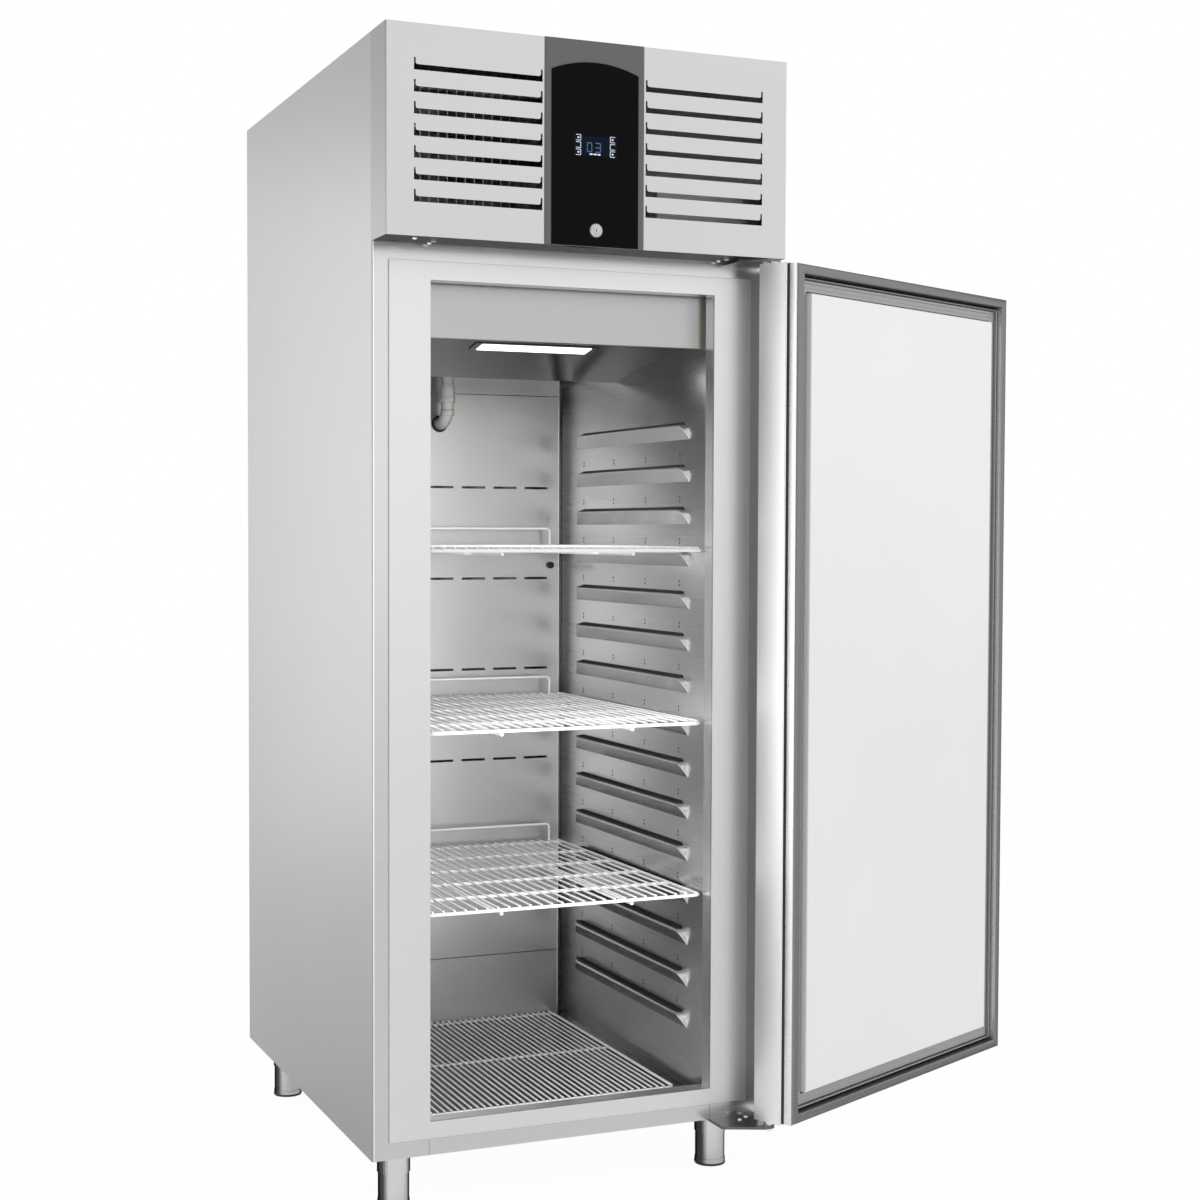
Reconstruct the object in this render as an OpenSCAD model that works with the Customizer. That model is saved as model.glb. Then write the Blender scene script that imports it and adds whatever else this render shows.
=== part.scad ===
// Upright reach-in refrigerator with a top-mounted unit and one right-hinged door
// Millimetres, X to the right, Y to the back, Z up
// The origin is on the floor under the centre of the cabinet body

/* [Cabinet] */
// Width of a shelf
shelf_w = 530; // [500:5:560]
// Depth of a shelf
shelf_d = 650; // [600:5:680]
// Gap between a shelf and the side liner
shelf_gap = 10; // [8:0.5:12]
// Gap between a shelf and the slotted panel behind it
back_gap = 22; // [16:1:30]
// Distance from the side walls' front edge to the front of a shelf
shelf_y = 27; // [24:1:36]
// Clear height under the body
leg_h = 105; // [95:5:150]
// Thickness of the outer steel sheet
sheet = 1; // [0.8:0.1:1.4]
// Thickness of the liner steel sheet
liner_t = 0.8; // [0.6:0.1:1]
// Insulated thickness of the side and back walls
wall_t = 95; // [85:1:95]
// Insulated thickness of the floor
floor_t = 30; // [26:1:36]
// Insulated thickness of the ceiling under the machine deck
ceiling_t = 60; // [50:1:64]

/* [Front opening] */
// Clearance on each side of a shelf as it passes the opening
slide_gap = 2.5; // [2:0.5:4]
// Height of the loading opening
open_h = 1428; // [1300:2:1500]
// Height of the sill above the cabinet underside
sill_h = 58; // [52:1:64]
// Height of the lintel over the opening
lintel_h = 60; // [56:1:70]
// Width of the bright trim round the front edge
trim_w = 28; // [22:1:30]
// Depth of the trim and of the frame behind its face
trim_t = 3; // [3:0.5:4]
// Radius of the folded front corners of the body
fold_r = 3; // [2:0.5:3]
// How far the gasket face stands out of the trim
face_out = 3; // [2:0.5:4]
// Depth of the strips that line the opening
throat_d = 33; // [28:1:36]
// Thickness of the strips that line the opening
throat_t = 1.5; // [1:0.1:2]

/* [Header] */
// Height of the machine cover above the door
header_h = 344; // [340:2:350]
// How far the machine cover stands out over the door
header_out = 76; // [74:1:80]
// Height of the machine deck above the underside of the machine cover
deck_rise = 14; // [12:1:20]
// Thickness of the cover sheet
cover_t = 1.2; // [1:0.1:1.5]
// Half width of the control panel
panel_hw = 92; // [88:1:96]
// How far the control panel stands out of the cover
panel_out = 2; // [1.5:0.5:3]
// Half width of the dark glass on the control panel
glass_hw = 80; // [76:1:84]
// Thickness of the dark glass
glass_t = 1.5; // [1:0.1:2]
// Distance from the top of the cover to the crown of the glass
glass_drop = 36; // [32:1:44]
// Height of the arch of the glass
glass_rise = 16; // [10:1:20]

/* [Louvres] */
// Number of louvres in each bank
louvre_n = 7; // [5:1:7]
// Distance between louvres
louvre_pitch = 35.5; // [34:0.5:37]
// Distance from the control panel to the inner louvre ends
louvre_gap = 3.3; // [3:0.1:10]
// Height of a louvre, its slot and the slits at its ends
louvre_h = 20; // [16:1:24]
// Height of the slot under a flap
louvre_slot = 9; // [5:0.5:10]
// Width of the slit at each end of a flap
louvre_slit = 3; // [2:0.5:5]
// Radius of the lower corners of a flap
louvre_round = 4; // [2:0.5:6]
// Distance from the side of the cover to the outer louvre ends
louvre_inset = 48.5; // [46:0.5:60]
// Height of the lowest louvre above the underside of the cover
louvre_low = 64.5; // [54:0.5:70]

/* [Door] */
// Distance from the cabinet side to the hinge pin axis
hinge_in = 16.5; // [15:0.5:20]
// Distance from the side walls' front edge forward to the hinge pin axis
hinge_out = 64.5; // [62:0.5:66]
// Distance that the door stays short of each cabinet side
door_inset = 3; // [2:0.5:4]
// Gap between the door and the header above it or the cabinet underside below it
door_gap = 8; // [7:0.5:9]
// Depth of the folded outer skin of the door, up to its return lip
skin_d = 60; // [58:1:61]
// Width of the return lip of the skin
lip_w = 7; // [5:0.5:8]
// Depth of the edge profile that carries the gasket
edge_d = 11; // [10:0.5:12]
// Distance from the side of the door to its raised inner panel
edge_w = 52; // [50:1:54]
// How far the inner panel rises above the lip
panel_rise = 18; // [14:1:20]
// Free height of the gasket
gasket_h = 25; // [24:0.5:26]
// Gap left between the gasket and its face when the door is closed
gasket_gap = 0.3; // [0.2:0.1:0.5]
// Width of the open groove between the lip and the gasket
groove_w = 3; // [2:0.5:4]
// Angle that the door stands open
door_open = 205; // [190:1:210]
// How far the door grip stands out
grip_out = 38; // [36:1:46]
// Width of the door grip
grip_w = 32; // [28:1:40]

/* [Hinges] */
// Thickness of the hinge plates
plate_t = 5; // [4:0.5:5]
// Radius of the hinge pins
pin_r = 5; // [4:0.5:6]
// Radial running clearance of the hinge pins and the lock
run_fit = 0.05; // [0.03:0.01:0.1]
// Outer radius of the door bushes
bush_r = 9; // [8:0.5:10]
// Length of the door bushes
bush_l = 26; // [22:1:32]

/* [Shelves] */
// Radius of the frame rods
rod_r = 3; // [2.5:0.1:3.5]
// Radius of the thin wires
wire_r = 1.9; // [1.6:0.1:2.2]
// Number of thin wires on a shelf
wire_n = 26; // [20:1:30]
// Number of cross rods between the front and the back of a shelf
cross_n = 5; // [3:1:6]
// Height of the bail at the back of a shelf
bail_h = 34; // [24:1:44]
// Ledges, counted from the top one as 0, that carry the three shelves
shelf_ledges = [3, 7, 11];
// Gap between the floor rack and the side liner
rack_gap = 22.5; // [20:0.5:30]
// Gap between the floor rack and the slotted panel
rack_back = 7; // [5:1:20]
// Number of thin wires on the floor rack
rack_n = 39; // [30:1:40]
// Distance from the side walls' front edge to the front of the floor rack
rack_y = 106; // [100:1:110]

/* [Liner] */
// Distance between ledges
ledge_pitch = 78.2; // [74:0.1:84]
// Distance from the ceiling down to the top ledge
ledge_drop = 238; // [230:1:250]
// Least height of the lowest ledge above the floor
ledge_clear = 100; // [90:1:120]
// How far a ledge stands out of the wall
ledge_out = 16; // [15:0.5:18]
// Height of a ledge
ledge_h = 27; // [24:1:30]
// Distance from the back end of a ledge to the slotted panel
ledge_back = 71; // [66:1:80]
// Distance from the side walls' front edge to the front of a ledge
ledge_y = 107.5; // [100:0.5:112]

/* [Air path] */
// Distance from the back liner to the face of the slotted panel
duct_d = 66; // [60:1:72]
// Gap between the slotted panel and each side wall
duct_side = 10.5; // [9:0.5:12]
// Height of the lower seam of the slotted panel above the cabinet underside
duct_low = 170; // [150:1:190]
// Distance from the ceiling down to the upper seam of the slotted panel
duct_high = 151; // [145:1:160]
// Number of slot rows
slot_rows = 4; // [2:1:4]
// Number of slots in a row
slot_cols = 7; // [5:1:7]
// Length of a slot
slot_len = 52; // [40:1:60]
// Height of a slot
slot_h = 5; // [3:0.5:8]
// Distance between slots in a row
slot_pitch = 70.4; // [68:0.1:72]
// Distance between slot rows
row_pitch = 190.3; // [180:0.1:200]
// Height of the lowest slot row above the cabinet underside
row_low = 585; // [560:1:600]
// Distance from the side walls' front edge to the drop front of the evaporator
fascia_y = 44; // [42:1:60]
// Height of the drop front
fascia_h = 105; // [95:1:110]
// Slope of the air guide behind the drop front
guide_slope = 11; // [8:0.5:12]
// Distance from the slotted panel forward to the evaporator fan plate
fan_front = 267; // [262:1:280]
// Radius of the drain elbow
drain_r = 13; // [10:0.5:14]

/* [Legs] */
// Radius of a leg tube
leg_r = 29; // [26:0.5:32]
// Wall of a leg tube
leg_wall = 1.5; // [1:0.1:2]
// Length of a leg tube below the underside
leg_tube_l = 44; // [40:1:48]
// Side of the square plate on top of a leg
leg_plate = 84; // [76:1:88]
// Distance from the cabinet side to a leg axis
leg_in = 62; // [60:1:80]
// Distance from the front or the back edge of the side walls to a leg axis
leg_front = 75; // [72:1:90]
// Height of the foot rim at the floor
rim_h = 12; // [8:1:14]
// Radius of the foot rim
rim_r = 28.2; // [27:0.1:30]

/* [Hidden] */
$fn = 48;
touch = 0.3; // gap between pieces that rest on each other but move apart
weld = 0.05; // gap left between welded rods
body_w = shelf_w + 2 * (shelf_gap + wall_t);
body_d = shelf_y + shelf_d + back_gap + duct_d + wall_t;
body_h = sill_h + open_h + lintel_h + header_h;
open_w = shelf_w + 2 * slide_gap;
hw = body_w / 2;
y_front = -body_d / 2;
y_back = body_d / 2;
z_base = leg_h;
z_top = leg_h + body_h;
z_head = z_top - header_h;
z_deck = z_head + deck_rise;
y_head = y_front - header_out;
hi = hw - wall_t;
y_in = y_back - wall_t;
z_floor = z_base + floor_t;
z_ceil = z_deck - ceiling_t;
z_sill = z_base + sill_h;
z_lintel = z_sill + open_h;
open_hw = open_w / 2;
y_throat = y_front - face_out + throat_d;
foam_x = hw - sheet;
y_trim = y_front + trim_t;

steel = [0.78, 0.78, 0.79];
dark_steel = [0.45, 0.45, 0.46];
white = [0.95, 0.95, 0.95];
black = [0.06, 0.06, 0.07];
copper = [0.75, 0.45, 0.3];

// A box given by two opposite corners
module box(a, b) {
  translate(a) cube([b[0] - a[0], b[1] - a[1], b[2] - a[2]]);
}

// The same shape on the left and on the right
module both_sides() {
  children();
  mirror([1, 0, 0]) children();
}

// A rod along X, Y or Z from a start point
module rod_x(p, l, r) {
  translate(p) rotate([0, 90, 0]) cylinder(h = l, r = r);
}
module rod_y(p, l, r) {
  translate(p) rotate([-90, 0, 0]) cylinder(h = l, r = r);
}
module rod_z(p, l, r) {
  translate(p) cylinder(h = l, r = r);
}

// A shape drawn in X and Z, made solid from y0 to y1
module slab_y(y0, y1) {
  translate([0, y1, 0]) rotate([90, 0, 0]) linear_extrude(y1 - y0) children();
}

// Four mitred sides between an outer and an inner rectangle in X and Z
module mitred_ring(x_out, z0, z1, x_in, z2, z3, y0, y1) {
  slab_y(y0, y1) polygon([[-x_out, z0], [x_out, z0], [x_in, z2], [-x_in, z2]]);
  slab_y(y0, y1) polygon([[-x_out, z1], [-x_in, z3], [x_in, z3], [x_out, z1]]);
  both_sides() slab_y(y0, y1) polygon([[x_out, z0], [x_out, z1], [x_in, z3], [x_in, z2]]);
}

// Cabinet shell
module outer_side() {
  xc = hw - fold_r;
  yc = y_front + fold_r;
  box([hw - sheet, yc, z_base], [hw, y_back, z_top]);
  translate([0, 0, z_base]) linear_extrude(body_h - cover_t) intersection() {
    translate([xc, yc]) circle(r = fold_r);
    translate([xc, y_front]) square([fold_r, fold_r]);
  }
}
module outer_side_right() {
  color(steel) outer_side();
}
module outer_side_left() {
  color(steel) mirror([1, 0, 0]) outer_side();
}

grille_n = 7;
grille_pitch = 32;
grille_l = body_w - 320;
grille_h = 9;
gland_x = hw - 140;
gland_z = z_deck + 45;
gland_r = 9;
module outer_back() {
  color(steel) difference() {
    box([-foam_x, y_back - sheet, z_base], [foam_x, y_back, z_top]);
    for (i = [0 : grille_n - 1])
      translate([-grille_l / 2, y_back - 2 * sheet, z_deck + 80 + i * grille_pitch])
        cube([grille_l, 3 * sheet, grille_h]);
    rod_y([gland_x, y_back - 2 * sheet, gland_z], 3 * sheet, gland_r);
  }
}

gland_hole_r = 4.5;
gland_in = 9;
gland_out = 14;
module cable_gland() {
  color(black) difference() {
    union() {
      rod_y([gland_x, y_back - sheet - gland_in, gland_z], gland_in + sheet + gland_out, gland_r);
      rod_y([gland_x, y_back, gland_z], 4, gland_r + 4);
      rod_y([gland_x, y_back - sheet - 4, gland_z], 4, gland_r + 3);
    }
    rod_y([gland_x, y_back - sheet - gland_in - 1, gland_z], gland_in + sheet + gland_out + 2,
      gland_hole_r);
  }
}

module base_pan() {
  color(dark_steel) box([-foam_x, y_trim, z_base], [foam_x, y_back - sheet, z_base + sheet]);
}

module front_edge_trim() {
  color(steel) mitred_ring(hw - fold_r, z_base, z_head, hw - trim_w, z_base + trim_w,
    z_head - trim_w, y_front, y_trim);
}

// The flat face that the gasket meets: two posts and two rails, with a narrow open joint
// left in front round their outer edge
face_joint = 1.5;
module frame_layer(y0, y1, inset) {
  x1 = hw - trim_w - inset;
  z0 = z_base + trim_w + inset;
  z1 = z_head - trim_w - inset;
  both_sides() box([open_hw, y0, z0], [x1, y1, z1]);
  box([-open_hw, y0, z0], [open_hw, y1, z_sill]);
  box([-open_hw, y0, z_lintel], [open_hw, y1, z1]);
}
module front_frame() {
  color(steel) {
    frame_layer(y_front - face_out, y_front + 1.5, face_joint);
    frame_layer(y_front + 1.5, y_trim, 0);
  }
}

module throat_strips() {
  color(dark_steel) {
    both_sides() box([open_hw, y_trim, z_sill], [open_hw + throat_t, y_throat, z_lintel]);
    box([-open_hw - throat_t, y_trim, z_sill - throat_t], [open_hw + throat_t, y_throat, z_sill]);
    box([-open_hw - throat_t, y_trim, z_lintel],
      [open_hw + throat_t, y_throat, z_lintel + throat_t]);
  }
}

// The way of the refrigerant pipes through the ceiling
pipe_x = hi - 79;
pipe_y = y_in - 120;
pipe_hole_r = 14;
module pipe_way() {
  rod_z([pipe_x, pipe_y, z_ceil - 5], ceiling_t + 20, pipe_hole_r);
}

// Foamed insulation: the slabs of the walls, and the bars round the opening
module wall_foam() {
  z0 = z_base + sheet;
  x1 = hi + liner_t;
  x2 = x1 - weld;
  xj = open_hw + throat_t;
  xs = xj - weld;
  y1 = y_throat + weld;
  yb = y_in + liner_t;
  y2 = yb - weld;
  color("khaki") {
    both_sides() box([x1, y_trim, z0], [foam_x, y_back - sheet, z_deck]);
    both_sides() box([xj, y_trim, z0], [x2, y_throat, z_deck]);
    box([-x2, yb, z0], [x2, y_back - sheet, z_deck]);
    box([-x2, y1, z0], [x2, y2, z_floor - liner_t]);
    box([-xs, y_trim, z0], [xs, y_throat, z_sill - throat_t]);
    box([-xs, y_trim, z_lintel + throat_t], [xs, y_throat, z_deck]);
    difference() {
      box([-x2, y1, z_ceil + liner_t], [x2, y2, z_deck]);
      pipe_way();
    }
  }
}

// Liner with pressed ledges
z_ledge = z_ceil - ledge_drop;
ledge_n = floor((z_ledge - z_floor - ledge_clear) / ledge_pitch) + 1;
ledge_len = y_in - duct_d - ledge_back - y_front - ledge_y;
// A ledge has a flat top, a small nose and a sloped face; its front end is square, its back end slants
module ledge_shape() {
  x0 = hi - ledge_out;
  y0 = y_front + ledge_y;
  y1 = y0 + ledge_len;
  nose = 3;
  end_slant = 38;
  intersection() {
    slab_y(y0, y1) polygon([[hi - weld, 0], [x0 + nose, 0], [x0 + nose * 0.3, -nose * 0.3],
      [x0, -nose], [hi - weld, -ledge_h]]);
    translate([0, 0, -ledge_h - 1]) linear_extrude(ledge_h + 2)
      polygon([[x0 - 1, y0], [hi, y0], [hi, y1], [x0 - 1, y1 - end_slant]]);
  }
}

module liner_side() {
  box([hi, y_throat, z_floor], [hi + liner_t, y_in, z_ceil]);
  for (i = [0 : ledge_n - 1])
    translate([0, 0, z_ledge - i * ledge_pitch]) ledge_shape();
}
module liner_right() {
  color(steel) liner_side();
}
module liner_left() {
  color(steel) mirror([1, 0, 0]) liner_side();
}
module liner_back() {
  x1 = hi + liner_t;
  color(steel) box([-x1, y_in, z_floor], [x1, y_in + liner_t, z_ceil]);
}
module liner_floor() {
  x1 = hi + liner_t;
  color(steel) box([-x1, y_throat, z_floor - liner_t], [x1, y_in + liner_t, z_floor]);
}
module liner_ceiling() {
  x1 = hi + liner_t;
  color(steel) difference() {
    box([-x1, y_throat, z_ceil], [x1, y_in + liner_t, z_ceil + liner_t]);
    pipe_way();
  }
}

// Slotted air duct panel at the back, in three sheets with open seams
y_duct = y_in - duct_d;
z_duct_low = z_base + duct_low;
z_duct_high = z_ceil - duct_high;
seam = 1.5;
duct_t = 1;
drain_z = z_ceil - 213;
drain_x = -5;
plug_x = hi - 31;
plug_z = z_ceil - 507;
plug_r = 7;
plug_hole_r = 4;
module duct_sheet(z0, z1) {
  x1 = hi - duct_side;
  box([-x1, y_duct, z0], [x1, y_duct + duct_t, z1]);
  both_sides() box([x1 - duct_t, y_duct + duct_t, z0], [x1, y_in - touch, z1]);
}
module duct_panel() {
  window_x = hi - 85;
  color(steel) {
    difference() {
      duct_sheet(z_duct_low, z_duct_high);
      for (r = [0 : slot_rows - 1], c = [0 : slot_cols - 1])
        translate([(c - (slot_cols - 1) / 2) * slot_pitch, 0, z_base + row_low + r * row_pitch])
          box([-slot_len / 2, y_duct - 1, -slot_h / 2], [slot_len / 2, y_duct + 2, slot_h / 2]);
      rod_y([drain_x, y_duct - 1, drain_z], 3, drain_r + 3);
      rod_y([plug_x, y_duct - 1, plug_z], 3, plug_hole_r + run_fit);
    }
    duct_sheet(z_floor + touch, z_duct_low - seam);
    difference() {
      duct_sheet(z_duct_high + seam, z_ceil - touch);
      box([-window_x, y_duct - 1, z_ceil - 90], [window_x, y_duct + 2, z_ceil - 10]);
    }
  }
}
module probe_plug() {
  color(black) {
    rod_y([plug_x, y_duct - 6, plug_z], 6, plug_r);
    rod_y([plug_x, y_duct, plug_z], 12, plug_hole_r);
  }
}

// Drop front and sloped air guide under the evaporator
y_fascia = y_front + fascia_y;
z_fascia = z_ceil - fascia_h;
inside_x = hi - touch;
guide_y = y_fascia + 18;
guide_z = z_fascia + 36;
guide_t = 1.2;
fan_y = y_duct - fan_front;
guide_len = (fan_y - 6.8 - guide_y) / cos(guide_slope);
lamp_x = 9;
lamp_u = guide_len * 0.42;
lamp_l = 242;
lamp_w = 42;
lens_l = 216;
lens_w = 35;
lamp_fit = 0.2;
module baffle_fascia() {
  lip = 12;
  color(steel) {
    box([-inside_x, y_fascia, z_fascia], [inside_x, y_fascia + sheet, z_ceil]);
    box([-inside_x, y_fascia + sheet, z_fascia], [inside_x, y_fascia + lip, z_fascia + sheet]);
  }
}
// Local frame of the air guide: Y runs down its slope to the back, Z is square to it
module on_guide() {
  translate([0, guide_y, guide_z]) rotate([-guide_slope, 0, 0]) children();
}
module baffle_air_guide() {
  color(dark_steel) on_guide() difference() {
    box([-inside_x, 0, 0], [inside_x, guide_len, guide_t]);
    translate([lamp_x, lamp_u, 0])
      box([-lamp_l / 2, -lamp_w / 2, -1], [lamp_l / 2, lamp_w / 2, guide_t + 1]);
  }
}
module lamp_housing() {
  color(dark_steel) on_guide() translate([lamp_x, lamp_u, 0]) difference() {
    box([lamp_fit - lamp_l / 2, lamp_fit - lamp_w / 2, -2],
      [lamp_l / 2 - lamp_fit, lamp_w / 2 - lamp_fit, 18]);
    box([-lens_l / 2, -lens_w / 2, -3], [lens_l / 2, lens_w / 2, 3]);
  }
}
module lamp_lens() {
  color("white") on_guide() translate([lamp_x, lamp_u, 0])
    box([lamp_fit - lens_l / 2, lamp_fit - lens_w / 2, -3],
      [lens_l / 2 - lamp_fit, lens_w / 2 - lamp_fit, 2.9]);
}

// Drip tray and its drain elbow
tray_z = z_ceil - 112;
tray_y0 = fan_y + 28;
tray_y1 = y_duct - 19;
tray_rim = 12;
drain_y = y_duct - 48;
drain_bend = 36;
drain_wall = 2.5;
module drip_tray() {
  color(steel) difference() {
    union() {
      box([-inside_x, tray_y0, tray_z], [inside_x, tray_y1, tray_z + 1]);
      box([-inside_x, tray_y0, tray_z + 1], [inside_x, tray_y0 + 1, tray_z + tray_rim]);
      box([-inside_x, tray_y1 - 1, tray_z + 1], [inside_x, tray_y1, tray_z + tray_rim]);
    }
    rod_z([drain_x, drain_y, tray_z - 1], 3, drain_r - drain_wall);
  }
}
module elbow_run(r) {
  z_bend = drain_z + drain_bend;
  rod_z([drain_x, drain_y, z_bend], tray_z - z_bend, r);
  translate([drain_x, drain_y + drain_bend, z_bend]) rotate([0, 90, 0])
    rotate_extrude(angle = -90) translate([drain_bend, 0]) circle(r = r);
  rod_y([drain_x, drain_y + drain_bend, drain_z], y_in - drain_y - drain_bend, r);
}
module drain_elbow() {
  collar_l = 24;
  color([0.93, 0.94, 0.92]) difference() {
    union() {
      elbow_run(drain_r);
      rod_z([drain_x, drain_y, drain_z + drain_bend + 14], collar_l, drain_r + 2.5);
    }
    elbow_run(drain_r - drain_wall);
  }
}

// Evaporator: fins on tubes between two hanger plates
evap_x = hi - 65;
evap_y = [tray_y0 + 10, tray_y1 - 70];
evap_z = [tray_z + 16, z_ceil - 6];
module fin_block(x0, x1, y, z, fins, fin_t, tube_r, cols, rows) {
  for (i = [0 : fins - 1])
    translate([x0 + (x1 - x0 - fin_t) * i / (fins - 1), y[0], z[0]])
      cube([fin_t, y[1] - y[0], z[1] - z[0]]);
  for (c = [0 : cols - 1], r = [0 : rows - 1])
    rod_x([x0 - 8, y[0] + (y[1] - y[0]) * (c + 0.5) / cols,
      z[0] + (z[1] - z[0]) * (r + 0.5) / rows], x1 - x0 + 16, tube_r);
}
module evaporator_coil() {
  hang_x = evap_x + 8;
  color("silver") {
    fin_block(-evap_x, evap_x, evap_y, evap_z, 19, 1, 5, 2, 2);
    both_sides() box([hang_x, evap_y[0], tray_z + 1], [hang_x + 2, evap_y[1], z_ceil]);
  }
}

// Fan frame: a plate with a round mouth, and a motor on a cross bar behind it
fan_z = z_ceil - 66;
fan_r = 50;
fan_motor_r = 19;
fan_shaft_r = 3;
module evaporator_fan_frame() {
  plate_t = 1.2;
  bar_y = fan_y + plate_t;
  guide_end_z = guide_z - guide_len * sin(guide_slope);
  color(dark_steel) {
    difference() {
      box([-inside_x, fan_y, guide_end_z + 3], [inside_x, fan_y + plate_t, z_ceil]);
      rod_y([0, fan_y - 1, fan_z], plate_t + 2, fan_r + 3);
    }
    difference() {
      union() {
        box([-fan_r - 14, bar_y, fan_z - 5], [fan_r + 14, bar_y + 3, fan_z + 5]);
        rod_y([0, bar_y, fan_z], 26, fan_motor_r);
      }
      rod_y([0, bar_y - 1, fan_z], 8, fan_shaft_r + run_fit);
    }
  }
}

// A fan wheel whose axis is Y, with its back face at y = 0
module fan_wheel(tip_r, hub_r, depth, blades, pitch) {
  difference() {
    union() {
      rod_y([0, -depth, 0], depth, hub_r);
      intersection() {
        for (i = [0 : blades - 1])
          rotate([0, i * 360 / blades, 0]) translate([hub_r - 2, -depth / 2, 0])
            rotate([pitch, 0, 0]) translate([0, -depth * 0.6, -1])
              cube([tip_r, depth * 1.2, 2]);
        rod_y([0, -depth + 1, 0], depth - 2, tip_r);
      }
    }
    translate([0, -depth - 1, 0]) rotate([-90, 0, 0]) cylinder(h = 4, r = hub_r - 4);
  }
}
module evaporator_fan() {
  color(black) translate([0, fan_y - 2, fan_z]) {
    fan_wheel(fan_r, 15, 20, 5, 55);
    rod_y([0, 0, 0], 10, fan_shaft_r);
  }
}

// Machine compartment
deck_t = 1.2;
z_mach = z_deck + deck_t;
module machine_deck() {
  color(steel) difference() {
    box([-foam_x, y_trim, z_deck], [foam_x, y_back - sheet, z_mach]);
    pipe_way();
  }
}

comp_x = 220 - hw;
comp_y = y_back - 320;
comp_r = 84;
comp_foot = 16;
module compressor() {
  base_x = 120;
  base_y = 80;
  translate([comp_x, comp_y, z_mach]) {
    color(black) {
      translate([0, 0, comp_foot + 3]) rotate_extrude()
        polygon([[0, 0], [comp_r - 14, 0], [comp_r, 14], [comp_r, 130], [comp_r - 8, 152],
          [comp_r - 30, 168], [0, 174]]);
      box([-base_x, -base_y, comp_foot], [base_x, base_y, comp_foot + 3]);
    }
    color("dimgray") for (x = [-1, 1], y = [-1, 1])
      rod_z([x * (base_x - 16), y * (base_y - 16), 0], comp_foot, 11);
  }
}

cond_x = [40 - hw, 10];
cond_y = [y_front + 12, y_front + 56];
cond_z = [z_mach + 6, z_top - 38];
module condenser_coil() {
  color("silver") {
    fin_block(cond_x[0], cond_x[1], cond_y, cond_z, 22, 1, 4.5, 2, 4);
    for (x = [cond_x[0] - 10, cond_x[1] + 8])
      box([x, cond_y[0], z_mach], [x + 2, cond_y[1], cond_z[1] + 8]);
  }
}

cfan_x = (cond_x[0] + cond_x[1]) / 2;
cfan_y = cond_y[1] + 10;
cfan_z = (cond_z[0] + cond_z[1]) / 2;
cfan_r = 110;
cfan_depth = 25;
cfan_shaft_r = 4;
module condenser_fan_frame() {
  plate_t = 1.5;
  post = cfan_r + 14;
  bar_y = cfan_y + plate_t + cfan_depth + 8;
  color(dark_steel) {
    difference() {
      box([cond_x[0] - 8, cfan_y, z_mach], [cond_x[1] + 8, cfan_y + plate_t, cond_z[1] + 8]);
      rod_y([cfan_x, cfan_y - 1, cfan_z], plate_t + 2, cfan_r + 5);
    }
    translate([cfan_x, 0, cfan_z]) {
      both_sides() box([post, cfan_y + plate_t, -6], [post + 8, bar_y, 6]);
      difference() {
        union() {
          box([-post - 8, bar_y, -6], [post + 8, bar_y + 4, 6]);
          rod_y([0, bar_y, 0], 52, 34);
        }
        rod_y([0, bar_y - 1, 0], 12, cfan_shaft_r + run_fit);
      }
    }
  }
}
module condenser_fan() {
  color(black) translate([cfan_x, cfan_y + 4 + cfan_depth, cfan_z]) {
    fan_wheel(cfan_r, 26, cfan_depth, 5, 58);
    rod_y([0, 0, 0], 13, cfan_shaft_r);
  }
}

// A pipe that turns at right angles through a list of points
function axis_of(d) = abs(d[0]) > 0.01 ? 0 : abs(d[1]) > 0.01 ? 1 : 2;
module pipe_path(points, r) {
  for (i = [0 : len(points) - 2]) {
    d = points[i + 1] - points[i];
    turn = [[0, 90 * sign(d[0]), 0], [-90 * sign(d[1]), 0, 0], [d[2] < 0 ? 180 : 0, 0, 0]];
    translate(points[i]) rotate(turn[axis_of(d)]) cylinder(h = norm(d), r = r);
  }
  for (i = [1 : 1 : len(points) - 2]) translate(points[i]) sphere(r = r);
}
module refrigerant_pipes() {
  r = 4;
  lift = 40;
  z_in = z_ceil - 22;
  y_coil = evap_y[1];
  color(copper) {
    pipe_path([[comp_x + comp_r, comp_y, z_mach + 70], [pipe_x - 6, comp_y, z_mach + 70],
      [pipe_x - 6, pipe_y, z_mach + 70], [pipe_x - 6, pipe_y, z_in],
      [pipe_x - 6, y_coil, z_in]], r);
    pipe_path([[comp_x - 60, comp_y - 40, z_mach + 196], [comp_x - 60, comp_y - 40, z_mach + 220],
      [cond_x[0] - 20, comp_y - 40, z_mach + 220], [cond_x[0] - 20, cond_y[1] - 11, z_mach + 220],
      [cond_x[0] - 10, cond_y[1] - 11, z_mach + 220]], r);
    pipe_path([[cond_x[1] + 10, cond_y[1] - 11, z_mach + lift],
      [cond_x[1] + 60, cond_y[1] - 11, z_mach + lift], [cond_x[1] + 60, 0, z_mach + lift],
      [pipe_x + 6, 0, z_mach + lift], [pipe_x + 6, pipe_y + 2, z_mach + lift],
      [pipe_x + 6, pipe_y + 2, z_in], [pipe_x + 6, y_coil, z_in]], 3);
    rod_y([cond_x[1] + 60, cond_y[1] + 60, z_mach + lift], 110, 14);
  }
}

module control_box() {
  color("silver") box([hw - 210, y_front + 12, z_mach],
    [hw - 40, y_front + 150, z_mach + 130]);
}

module top_cover() {
  x1 = foam_x - 2;
  y0 = y_head + cover_t;
  y1 = y_back - sheet;
  color(steel) translate([0, 0, z_top - cover_t]) linear_extrude(cover_t)
    polygon([[-x1, y0], [x1, y0], [foam_x, y0 + 2], [foam_x, y1], [-foam_x, y1],
      [-foam_x, y0 + 2]]);
}

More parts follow.
